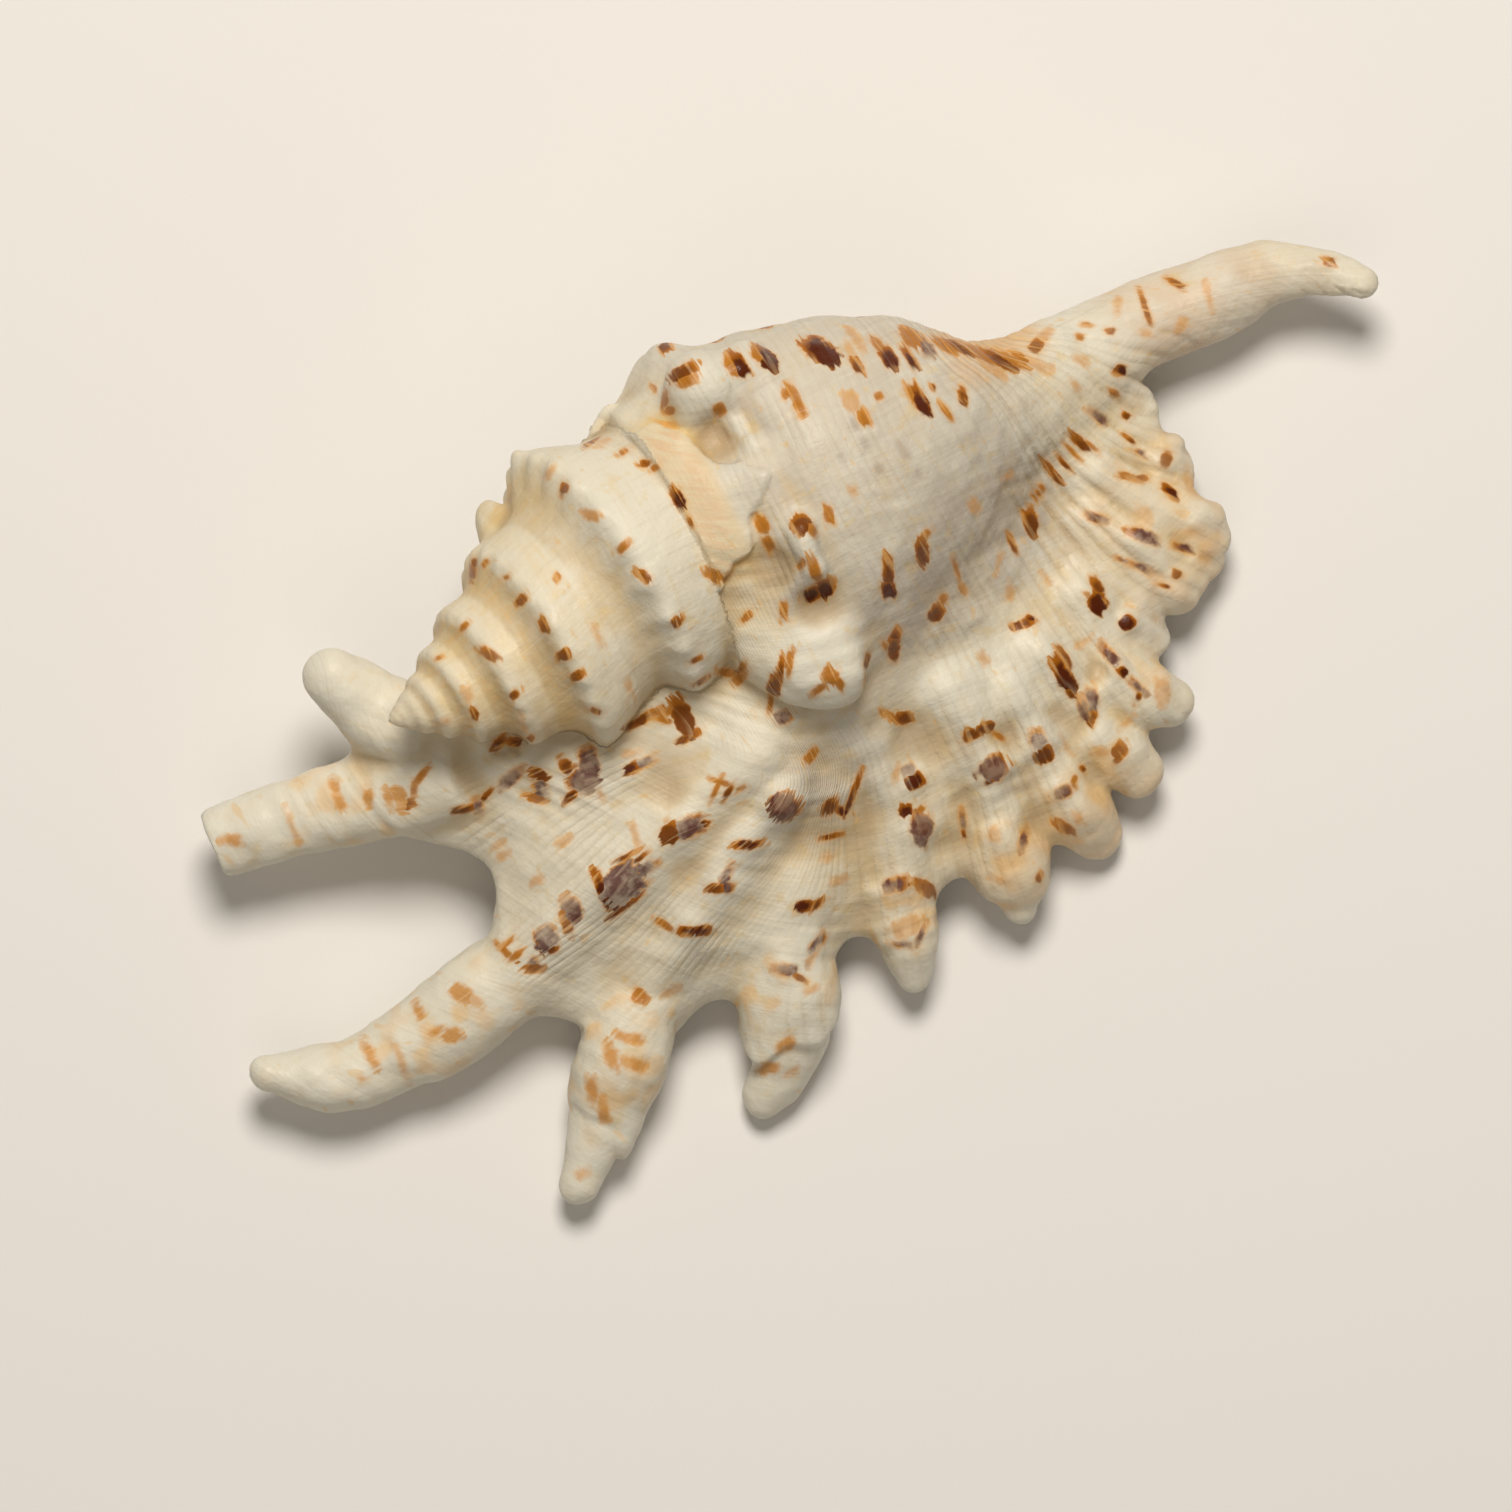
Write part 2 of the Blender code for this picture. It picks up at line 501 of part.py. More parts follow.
def main():
    clear_scene()
    shell_group = make_collection("spider_conch_shell")
    helpers = make_collection("helpers")

    grown = [build_coil(shell_group), build_lip(shell_group)]
    for number, path in enumerate(DIGITS, start=1):
        grown.append(build_tube(f"digit_{number:02d}", path, shell_group))
        x, y, z, radius = path[-1]
        tip = (radius, radius, radius)
        grown.append(build_ball(f"digit_tip_{number:02d}", (x, y, z), tip, shell_group))
    grown.append(build_tube("canal", CANAL, shell_group))
    x, y, z, radius = CANAL[-1]
    grown.append(build_ball("canal_tip", (x, y, z), (radius, radius, radius), shell_group))

    shell = join_all("shell", grown, shell_group)
    add_modifier(shell, "grow_together", "REMESH", mode="VOXEL", voxel_size=VOXEL * MM)
    add_modifier(shell, "soften", "SMOOTH", factor=0.5, iterations=3)
    apply_modifiers(shell)

    hollows = [build_mouth(helpers), build_tube("mouth_slot", MOUTH_SLOT, helpers),
               build_tube("canal_groove", CANAL_GROOVE, helpers)]
    mouth = join_all("mouth_cutter", hollows, helpers)
    add_modifier(mouth, "grow_together", "REMESH", mode="VOXEL", voxel_size=VOXEL * MM)
    apply_modifiers(mouth)
    bpy.ops.mesh.primitive_cube_add(size=1.0, location=(0.0, 0.0, -FLOOR_DEPTH * MM / 2.0))
    floor = bpy.context.active_object
    floor.name = "floor_cutter"
    floor.scale = (0.3, 0.2, FLOOR_DEPTH * MM)
    for old in list(floor.users_collection):
        old.objects.unlink(floor)
    helpers.objects.link(floor)
    hide_helper(mouth)
    hide_helper(floor)

    add_modifier(shell, "open_mouth", "BOOLEAN", operation="DIFFERENCE", solver="EXACT",
                 object=mouth)
    add_modifier(shell, "even_out", "REMESH", mode="VOXEL", voxel_size=VOXEL * MM)
    add_modifier(shell, "soften", "SMOOTH", factor=0.5, iterations=2)
    add_modifier(shell, "facet", "DECIMATE", ratio=1.0)
    bpy.context.view_layer.update()
    graph = bpy.context.evaluated_depsgraph_get()
    dense = len(shell.evaluated_get(graph).data.polygons) * 2
    shell.modifiers["facet"].ratio = FACE_BUDGET / dense
    apply_modifiers(shell)

    add_modifier(shell, "worn_flat", "BOOLEAN", operation="DIFFERENCE", solver="EXACT",
                 object=floor)
    add_modifier(shell, "triangles", "TRIANGULATE")
    apply_modifiers(shell)
    centre_on_origin(shell)
    shell.data.materials.clear()
    shell.data.materials.append(shell_material())


main()
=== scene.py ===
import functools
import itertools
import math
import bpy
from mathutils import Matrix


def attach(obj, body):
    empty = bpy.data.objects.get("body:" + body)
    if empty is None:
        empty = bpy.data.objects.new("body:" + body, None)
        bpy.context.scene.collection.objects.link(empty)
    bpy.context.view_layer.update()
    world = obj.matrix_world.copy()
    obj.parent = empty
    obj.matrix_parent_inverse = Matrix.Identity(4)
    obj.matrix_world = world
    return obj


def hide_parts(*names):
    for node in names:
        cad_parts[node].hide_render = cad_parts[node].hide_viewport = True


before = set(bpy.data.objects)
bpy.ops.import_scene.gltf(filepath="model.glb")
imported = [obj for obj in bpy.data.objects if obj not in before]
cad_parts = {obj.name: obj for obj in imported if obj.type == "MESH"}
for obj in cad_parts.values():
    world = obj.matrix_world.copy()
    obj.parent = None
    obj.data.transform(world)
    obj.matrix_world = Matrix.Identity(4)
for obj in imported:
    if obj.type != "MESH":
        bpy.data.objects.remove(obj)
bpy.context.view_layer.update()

# Looks of the spider conch shell, lying mouth down with its coil axis along +X.
# Lengths are in millimetres in the shell's own plan (see PLAN_CENTRE) until the
# mesh is made, and in metres in the frame from there on. A turn is counted
# around the coil axis: 0 at the top, 0.25 towards the lip, 0.75 away from it.
from types import SimpleNamespace

import bpy
import numpy as np
import openvdb
from mathutils import Vector

MM = 0.001
PLAN_CENTRE = (8.66, 4.16)

# ---------------------------------------------------------------- main form

# Coil axis: starts at the apex and drops towards the canal.
APEX = (-33.0, 20.5, 28.0)
AXIS_SLOPE_Z = -0.23
SPIRE_AXIS = [
    (-33, 20.5), (-25, 20.3), (-20, 20.8), (-15, 21.5), (-10, 23), (-5, 24.4), (0, 24.8),
]
SPIRE_WIDTH = 0.815
SPIRE_NARROWING = 0.0085
WHORL_GROWTH = 1.55
SUTURE_AT_TOP = 22.4
LAST_SUTURE = 35.2
KEEL_AT = 0.51
NODULES_PER_WHORL = 22.2
NODULE_PHASE = 0.25
NODULE_HEIGHT = 0.054
SUTURE_DEPTH = 0.30

# Radius of a spire whorl, as a share of the cone, from one suture to the next.
WHORL_PROFILE = [
    (0, 0.862), (0.1, 0.838), (0.2, 0.828), (0.3, 0.842), (0.4, 0.91), (0.46, 0.97), (0.51, 1),
    (0.58, 0.992), (0.72, 0.955), (0.88, 0.895), (1, 0.862),
]
# Extra width of the spire on its two sides, as a share, along the axis.
SPIRE_LIP_SIDE = [
    (0, 0), (15, 0.01), (20.5, 0.065), (25.5, 0.025), (31.5, -0.075), (36, -0.09),
]
SPIRE_FAR_SIDE = [
    (0, 0), (22, 0), (27, -0.02), (29, -0.07), (32, -0.115), (36, -0.12),
]

# Last whorl: axis x, axis y, radius up, towards the lip, down and away from it.
BODY_SECTIONS = [
    (1.2, 24.8, 15, 16.4, 14.8, 14.4), (4.5, 24.8, 16.8, 18.2, 17, 15.2),
    (7, 24.7, 17.8, 19.4, 18.2, 17), (9.2, 24.6, 18.6, 20, 19.2, 18.4),
    (13, 24.4, 19.8, 20.2, 18.5, 16.8), (17, 24.3, 20.3, 19.4, 17.2, 16.1),
    (20, 24.2, 20, 18.2, 15.9, 15.5), (25, 24, 18.6, 16.1, 13.4, 13.9),
    (30, 23.5, 16, 13.5, 11, 12.1), (35, 22.7, 12.4, 10.5, 9, 9.6),
    (38.5, 22.1, 9.6, 8.3, 7.7, 6.7), (42, 21.6, 7.2, 6.4, 6.3, 4.8),
    (47, 21.4, 5.4, 5.2, 5.2, 4.9),
]

# Swellings of the coil: axis x, turn, height, half length in millimetres and half
# width in turns. Those with a negative height are hollows.
SPIRE_KNOBS = [
    (-12.9, 0.7, 4, 1.7, 0.036), (-9.3, 0.77, 0.9, 1.8, 0.03),
]
KNOBS = [
    (8.6, 0.89, 3.2, 3, 0.028), (13.8, 0.893, 2.5, 2.3, 0.028), (9.4, 0.072, 2.2, 2.1, 0.034),
    (7.6, 0.184, 6, 5.4, 0.042), (8.4, 0.942, -1.7, 3.4, 0.03), (6.8, 0.035, -0.9, 1.8, 0.05),
    (3.8, 0.095, -0.9, 2.4, 0.04),
]

# Lip sheet: where each strip leaves the body, then where it ends in plan.
LIP_STRIPS = [
    ((-24, 22), (-36.5, 21.5)), ((-22.5, 20), (-39, 17.5)), ((-20.5, 18.5), (-38, 11)),
    ((-17, 17.5), (-31.5, 4.5)), ((-14, 16.5), (-30.6, 0.5)), ((-11, 16), (-33.6, -4.5)),
    ((-8.5, 15.5), (-34.5, -12)), ((-6.5, 15), (-30.2, -16)), ((-4.5, 14.5), (-27.5, -20.5)),
    ((-2.5, 14), (-21.5, -22.2)), ((0.5, 13), (-16, -21.2)), ((3, 12.5), (-9.5, -24)),
    ((5, 12), (-3.5, -23.2)), ((7, 12), (0, -22.2)), ((10, 12), (6, -23.5)),
    ((13, 12), (12.6, -21.1)), ((17, 12.5), (18.5, -23)), ((21, 13), (23.6, -22.2)),
    ((24, 13.5), (27.8, -22)), ((26, 14), (31.2, -19.4)), ((28, 14.5), (34, -18.2)),
    ((30, 15), (37.3, -16)), ((32, 15.5), (40, -13.5)), ((34, 16), (42.4, -9.8)),
    ((37, 16.5), (44.6, -5.8)), ((40, 17), (47.8, -6.8)), ((42, 17.5), (52, -3.8)),
    ((43, 18), (55.4, -0.6)), ((44, 18.5), (53.9, 3.6)), ((45, 19), (55.2, 7.4)),
    ((46, 19.5), (53.6, 11.2)), ((47, 20), (54.2, 15.6)),
]

# Height of the upper face of the lip at chosen places: x, y, z.
LIP_HEIGHTS = [
    (-38, 21, 14.6), (-38, 13, 12.2), (-33, 18, 17.4), (-28, 18, 20.9), (-22, 19, 25),
    (-33, 12, 15), (-28, 13, 17.6), (-30, 5, 13.8), (-31, 0, 13), (-34, -8, 11.2), (-25, 5, 17.6),
    (-25, -2, 16.9), (-22, 11, 20.4), (-17, 12, 22.6), (-20, 4, 18.9), (-20, -4, 18),
    (-20, -9, 15.2), (-29, -16, 9), (-20, -15, 12.4), (-18, -20, 8.6), (-14, 8, 22), (-8, 9, 22.8),
    (-10, 1, 21), (-10, -7, 18.4), (-10, -15, 14.6), (-10, -22, 8.6), (0, 9, 22.8), (0, 1, 21.6),
    (0, -6, 19.4), (0, -10, 15.4), (0, -15, 12.8), (0, -21, 8.6), (10, 0, 23.5), (10, -3, 19.8),
    (10, -6, 16.9), (10, -15, 12.2), (10, -21, 8.6), (20, 11, 29.2), (20, 6, 25), (20, 3, 21.2),
    (20, 0, 18), (20, -7, 15.8), (20, -12, 13.2), (20, -22, 7.8), (30, 13, 24.2), (30, 8, 19.4),
    (30, 3, 15.4), (30, -3, 14), (30, -10, 11.9), (30, -16, 9.2), (31, -19, 7.8), (37, -15, 7.8),
    (41, -10, 7.8), (36, 15, 18), (40, 15, 14.6), (40, 9, 11.4), (40, 2, 10.8), (40, -4, 9.2),
    (45, -5, 8.2), (48, 1, 10.2), (48, 8, 10.6), (54, 0, 7.4), (54, 7, 8.2), (53, 13, 9.2),
    (46, 15, 13.4), (50, 18, 11.2),
]
# Thickness of the lip, and how far in from its edge and how deep it is rounded.
LIP_EDGE_THICKNESS = 3.6
LIP_ROOT_THICKNESS = 8.0
LIP_THICKENS_OVER = 20.0
LIP_EDGE_ROUNDING = (2.0, 1.1)

# Folds of the lip, knob to digit: path in plan, height and half width.
LIP_FOLDS = [
    ([(0, 0), (-10, -3), (-20, -5.5), (-34, -8.8)], 1.8, 3.1),
    ([(2, -5), (-5, -7.8), (-14, -13.3), (-28, -22)], 1.8, 2.7),
    ([(5, -8), (3, -11.2), (-2.5, -16.5), (-10, -26)], 1.8, 2.9),
    ([(10, -5), (11, -12), (8, -18.5), (5.3, -25)], 1.6, 2.5),
    ([(21, -3), (22, -9), (21, -15), (18.3, -24)], 1.8, 2.9),
    ([(27, -6), (27.5, -13), (27.8, -22)], 1.4, 2.2),
    ([(32, -3), (33.5, -10), (34.5, -18)], 1.5, 2.3), ([(38, 0), (38.6, -8), (41, -14)], 1.5, 2.1),
    ([(43, 6), (47, 0), (48, -5)], 1.2, 1.9), ([(46, 10), (50, 4), (54, 0)], 1.2, 1.9),
]

# Ten digits, six small lobes of the front edge, and a curl of enamel at the far
# side: centre line points with the radius at each. The second digit is cut off square.
DIGITS = [
    [(-30, 18, 16, 3.6), (-33, 21.4, 15.2, 4.4), (-34.7, 25, 16.2, 3.7), (-35.9, 27.5, 17.2, 3)],
    [(-28, 12.6, 15, 4), (-37, 14.3, 11.4, 4.7), (-44, 15.9, 9.8, 4.2), (-50, 17.1, 9, 4),
     (-55.4, 17.6, 8.6, 3.7)],
    [(-27, -7.4, 10.5, 3.4), (-36, -9.2, 8.2, 4.6), (-42, -10.4, 7, 4.5), (-48, -10.9, 6.2, 4),
     (-53, -10.6, 6, 3.9), (-57.5, -8.8, 6.4, 3.5), (-61, -6.6, 7.2, 2.2)],
    [(-22, -16.8, 8.8, 2.8), (-26.9, -22, 6.8, 4.3), (-31, -25.7, 5.4, 3.6),
     (-34.4, -29.2, 4.6, 2.7), (-37.3, -32, 4.2, 2)],
    [(-5.8, -17.5, 9.4, 2.8), (-8.6, -24.4, 6.2, 5), (-11, -28.8, 4.2, 4.2),
     (-12.8, -31, 3.3, 3.3), (-15.3, -32.3, 2.3, 2.5)],
    [(6.6, -18, 10.2, 2.4), (5.8, -23.5, 6.8, 3.5), (4.9, -26.6, 5.4, 2.5),
     (4.2, -28.7, 4.8, 1.6)],
    [(19.4, -17, 10.2, 2.6), (18.4, -22.6, 6.8, 4.2), (17.9, -25.4, 5.4, 3.1),
     (17.4, -26.9, 5, 1.9)],
    [(27, -15.5, 9.6, 2.4), (27.7, -20.6, 5.8, 3.6), (28.4, -23.7, 2.6, 2.7)],
    [(32.8, -13, 9.4, 2.4), (34.3, -17.2, 6.6, 3.3), (35.1, -19.7, 5.4, 2.5)],
    [(36.5, -8.5, 10.2, 2.4), (39.9, -13.2, 7.2, 3.3), (41.6, -14.7, 6.2, 2.5)],
    [(42, -4, 8, 1.8), (43.6, -8.4, 5.6, 1.3)], [(50.5, -1, 6.8, 1.3), (52.4, -3.9, 5, 0.7)],
    [(51, -1, 7.4, 1.6), (54, -1.8, 6, 0.9)], [(52, 2, 8.2, 1.6), (54.8, 1, 7, 0.9)],
    [(51, 8.6, 8.8, 1.7), (54.2, 9.1, 7.6, 0.9)], [(50, 12, 9, 1.6), (53.4, 13.2, 8, 0.9)],
    [(-0.5, 36.6, 20.5, 1), (1.2, 38.7, 21.5, 0.7), (3.2, 40, 22, 0.45)],
]
CUT_DIGIT = 2
CANAL = [
    (38, 21.9, 11.4, 6), (45, 21.4, 9.9, 5.3), (50, 21.6, 8.6, 5.3), (56, 22.2, 7.4, 4.5),
    (62, 21.5, 6.8, 4.4), (67, 21.4, 7, 4), (71.5, 21, 7.6, 3.2), (75, 19.4, 8.6, 2.6),
    (78.3, 16.8, 9.8, 2.2), (79.6, 15.6, 10.2, 1.8),
]
# Outer layers that stop short of a digit's tip: digit, share of its length where
# the layer ends, thickness, slant of its edge and raggedness, in millimetres.
SLEEVES = [
    (2, 0.3, 0.35, 0.8, 0.5), (3, 0.58, 0.28, 2.2, 0.9), (4, 0.72, 0.7, -2.4, 0.6),
    (5, 0.6, 0.65, 1.8, 0.5),
]

# Mouth: x, outer and inner wall in y at the axis, roof height, gap over the pillar.
MOUTH_SECTIONS = [
    (1.5, 11.2, 14.4, 26.5, 4), (5, 9.2, 13.6, 29.5, 5.5), (10, 7.6, 13.4, 31, 6.5),
    (16, 7.8, 13.6, 31.2, 6.5), (22, 9.8, 15.2, 29.8, 6), (28, 12.2, 16.8, 26, 5),
    (34, 14.8, 18.4, 20.8, 4),
]
# How far the two walls lean towards the lip on their way down, how far down they
# go, and the angles in degrees between which the hollow curls over the pillar.
MOUTH_LEAN = (6.0, 4.0)
MOUTH_DROP = 12.0
MOUTH_CURL_START = 96.0
MOUTH_CURL_END = 18.0
MOUTH_SLOT = [
    (-15, 7, 12.5, 1.6), (-8, 5.8, 13, 3), (0, 5.4, 13.6, 4.3), (9, 5.6, 14, 4.9),
    (17, 6.4, 13.2, 4.8), (25, 8.8, 10.8, 4.3), (32, 12.2, 8.4, 3.5), (38, 15.8, 6.2, 2.8),
    (43, 18.6, 4.6, 2.3),
]
CANAL_GROOVE = [
    (38, 17.5, 5, 2.6), (46, 19.6, 3.6, 2.3), (56, 21.4, 1.8, 2.1), (66, 20.9, 1.6, 1.9),
    (73, 20, 3.8, 1.3), (77.5, 17, 6.8, 1),
]

# ---------------------------------------------------------------- fine form

# Grid of the volumes: size of a cell, cells on each side of a surface, and corners.
CELL = 0.42
BAND_CELLS = 6
GRID_LOW = (-66.0, -37.0, -3.0)
GRID_HIGH = (83.0, 45.0, 42.0)
TRIANGLE_BUDGET = 190000
# Fillets where the parts grow together; the body's widens towards the canal.
DIGIT_FILLET = 1.6
CANAL_FILLET = 2.0
MOUTH_FILLET = 0.8
BODY_FILLET = 3.5

# Flow lines of the spiral cords: cord number, growth at the start in millimetres,
# then points in plan from the back of the shell to its edge.
FLOW_LINES = [
    (-24, 50, [(-22, 19), (-29, 19), (-34, 24), (-36, 29)]),
    (-19, 48, [(-16, 11), (-25, 11), (-38, 14), (-48, 16.5), (-57, 17.5)]),
    (-15, 42, [(-4, 5), (-13, 4), (-23, 4), (-31, 2)]),
    (-11.5, 42, [(-1, 1), (-10, -0.5), (-22, -3), (-34, -6), (-46, -8), (-58, -7)]),
    (-7.5, 44, [(1, -3), (-8, -6), (-20, -9), (-32, -11), (-46, -13)]),
    (-1, 45, [(4, -6), (-3, -11), (-14, -15.5), (-25, -21), (-36, -31)]),
    (5.5, 34, [(7, 5), (5, -8), (1, -14), (-6, -21), (-12, -31)]),
    (11.5, 0, [(11.5, 38), (11.5, 25), (11, 12), (10.5, 0), (9.5, -12), (7, -20), (4.5, -28)]),
    (19.5, 0, [(19.5, 38), (19.5, 25), (20, 12), (20.5, 0), (20, -12), (18.5, -20), (17.5, -27)]),
    (26, 0, [(26, 37), (26, 25), (26.5, 12), (27.3, 0), (27.5, -12), (28, -24)]),
    (31, 3, [(30.5, 34), (31, 25), (31.6, 12), (32.5, 0), (34, -12), (35, -20)]),
    (35, 5, [(34, 32), (35, 25), (36, 12), (37.5, 0), (39.5, -9), (42, -15)]),
    (38.5, 6, [(36.5, 30), (38.3, 25), (40, 14), (42.5, 4), (46, -4), (48, -6)]),
    (42, 7, [(38.5, 29), (41, 24), (43.5, 16), (47, 8), (52, 0), (54, -3)]),
    (45.5, 8, [(40.5, 28), (43.5, 24), (47, 17), (51, 10), (54.5, 7)]),
    (48.5, 9, [(42.5, 27), (46, 24), (50, 18), (53, 14)]),
    (51.5, 9, [(45, 27), (49, 24.5), (54, 20), (58, 17)]),
    (56, 9, [(51, 27), (57, 24), (62, 20), (64, 17)]), (63, 9, [(60, 26), (66, 22), (70, 18)]),
    (72, 9, [(70, 24), (75, 19), (76, 17)]),
]

# Distances between ridges, counted in cords, and between growth pauses in millimetres.
COARSE_CORDS = 1.85
FOLD_CORDS = 1.7
MOUTH_CORDS = 1.9
GROWTH_SPACING = 2.6
# Uneven wall: size of the lumps, height, seed, and whether they are lower on the spire.
LUMPS = [(5.5, 0.36, 31, True), (2.5, 0.20, 32, True), (1.0, 0.045, 33, False)]
# Small bumps and dents on the lip and the back: x, y, radius, height.
TUBERCLES = [
    (0.2, -5.8, 1.7, 1.1), (4.5, 2.3, 1.1, 0.6), (21.6, -12.4, 1.7, 1), (11.8, -14.8, 1.6, 0.9),
    (34, -11, 1.3, 0.8), (41.3, -5.2, 1.1, 0.9), (-17.5, 5.6, 1.8, 0.7), (-20, -6, 1.7, 0.8),
    (27.2, -12.4, 1.2, 0.6), (38.3, -8.8, 1, 0.5), (21.8, -3.4, 2.6, 0.8), (32, -4, 1.3, 0.7),
    (7.6, -18.6, 1.3, 0.7), (-5, -7.6, 1.5, 0.6), (-14.2, -12.8, 1.5, 0.6), (-10, -3.4, 1.8, 0.5),
    (-9.4, -10.2, 1.3, 0.5), (-12, 4.8, 1.4, 0.5), (-7.6, -21.4, 1.3, 0.5),
    (-3.2, -20.4, 1.4, 0.4), (33, -6.6, 1.5, 0.6), (39.6, -1.6, 1.5, 0.6), (13.9, -9.6, 1.3, 0.7),
    (46.9, 2, 1.3, 0.5), (-28, -7.2, 1.6, 0.4), (-1, 1, 3.2, 0.8), (16.8, -7, 2.6, -0.7),
    (2, -12.6, 2.2, -0.6), (-9, 1.4, 2.6, -0.5), (47.2, -4.4, 1.2, 0.6), (25.8, 3, 1, 0.5),
    (27.2, 2.9, 0.8, 0.4), (15, 19, 1.2, 0.6), (11.6, 38, 1.4, 0.7), (16.4, 36.8, 1.2, 0.6),
    (53.4, 0.6, 1.3, 0.5), (53.4, 7.2, 1.2, 0.5), (26.9, -17.8, 1.1, 0.5), (9.6, -20.6, 1.2, 0.4),
    (12.8, 36.4, 2.8, 1.6), (11.4, 31.4, 1.9, -1.6), (13.4, 31.4, 1, 1.3), (14.3, 29, 1, 1.2),
    (14.5, 18.6, 1.1, 1.3), (14.2, 16.6, 1, 1.4), (14.1, 14.6, 1, 1.1), (12.6, 10.9, 1.9, -1.5),
    (11, 16.4, 2, -0.8), (22.6, -20, 1.2, -0.5), (30.6, -18, 1, -0.5), (13.4, -17.6, 1.6, -0.6),
    (24.4, -10, 1.6, -0.6), (30, -11, 1.2, -0.5), (36, -9, 1.1, -0.5), (17.6, -13.6, 1.4, -0.6),
    (18.6, -19.6, 1.5, 0.5), (28, -20.6, 1.2, 0.5),
]
# Edge of the thin enamel layer that spreads from the spire over the last whorl.
ENAMEL_EDGE = [
    (1, 38.4), (4, 35.4), (7, 35), (8.7, 32.6), (9.4, 29.8), (10.6, 28.2), (12.6, 27.6),
    (14.7, 25.3), (13.2, 23.8), (10.4, 21.8), (9.8, 19.6), (6.8, 18.6), (4.6, 17.2),
]
ENAMEL_THICKNESS = 0.80
# Middle of the slope between the last whorl and the lip, where painted shade is laid over the
# shell's own grey.
FLANK_SHADE_LINE = [(46, 16.5), (38, 12), (28, 8), (18, 4), (11, -3), (3, -7)]
# Pit with dirt between the spire and the lip: x, y, radius.
DIRT_PIT = (-22.6, 12.6, 2.2)
# White places: worn or glazed knobs and ridges, and painted light on the middle of the lip and on
# the lip below the spire: x, y and half sizes.
WHITE_AND_PAINTED_LIGHT_PLACES = [
    (10, 5.5, 5.4, 5), (14.3, 16.8, 1.1, 3), (13.8, 30, 1.1, 2.6), (22, -3, 13, 4.5),
    (12.5, 36.5, 3.5, 2.2), (-8, 3.5, 8, 3),
]
# Grey speckled columns: x, y from and to.
GREY_COLUMNS = [
    (24.6, 18, 29), (28, 17, 24), (21.8, 22, 27), (34.6, 15, 19),
]
# Painted shade in hollows, between folds and under the knobs, and greyer patches on the canal and
# the cut digit: x, y, radius, share.
PAINTED_SHADE_SPOTS = [
    (11.2, 30.6, 2.2, 0.6), (12.6, 11.2, 2.6, 0.7), (44, -6.5, 3.6, 0.45), (19.5, -9, 3, 0.4),
    (23.5, -14.5, 2.6, 0.35), (3.5, -9.5, 3, 0.35), (-12, -8, 3.4, 0.25), (68, 19.5, 4.5, 0.45),
    (60, 18.5, 3.5, 0.45), (75, 18.5, 3, 0.3), (-57.5, 18, 3, 0.3), (52, 15.5, 2.4, 0.45),
    (6, -14, 2.6, 0.3), (31, -12, 2.6, 0.25),
]

# ---------------------------------------------------------------- colour marks

# Kinds of mark: strength, how dark its middle is and how violet.
MARK_KINDS = {
    "pale": (0.25, 0.00, 0.00), "honey": (0.34, 0.03, 0.00), "amber": (0.65, 0.15, 0.00),
    "brown": (0.90, 0.70, 0.00), "dark": (1.00, 1.00, 0.00), "plum": (0.90, 0.70, 0.75),
    "violet": (0.60, 0.30, 1.00), "rust": (0.80, 0.30, 0.15), "spot": (0.85, 0.50, 0.00),
    "dusk": (1.00, 0.75, 0.50),
}
# Marks are drawn a little larger than listed, and kept on layers so that each
# point of the shell has one nearest mark on each layer, up to a margin away.
MARK_GROWTH = 1.36
MARK_LAYERS = 5
MARK_MARGIN = 1.4
MARK_SQUARENESS = 2.6
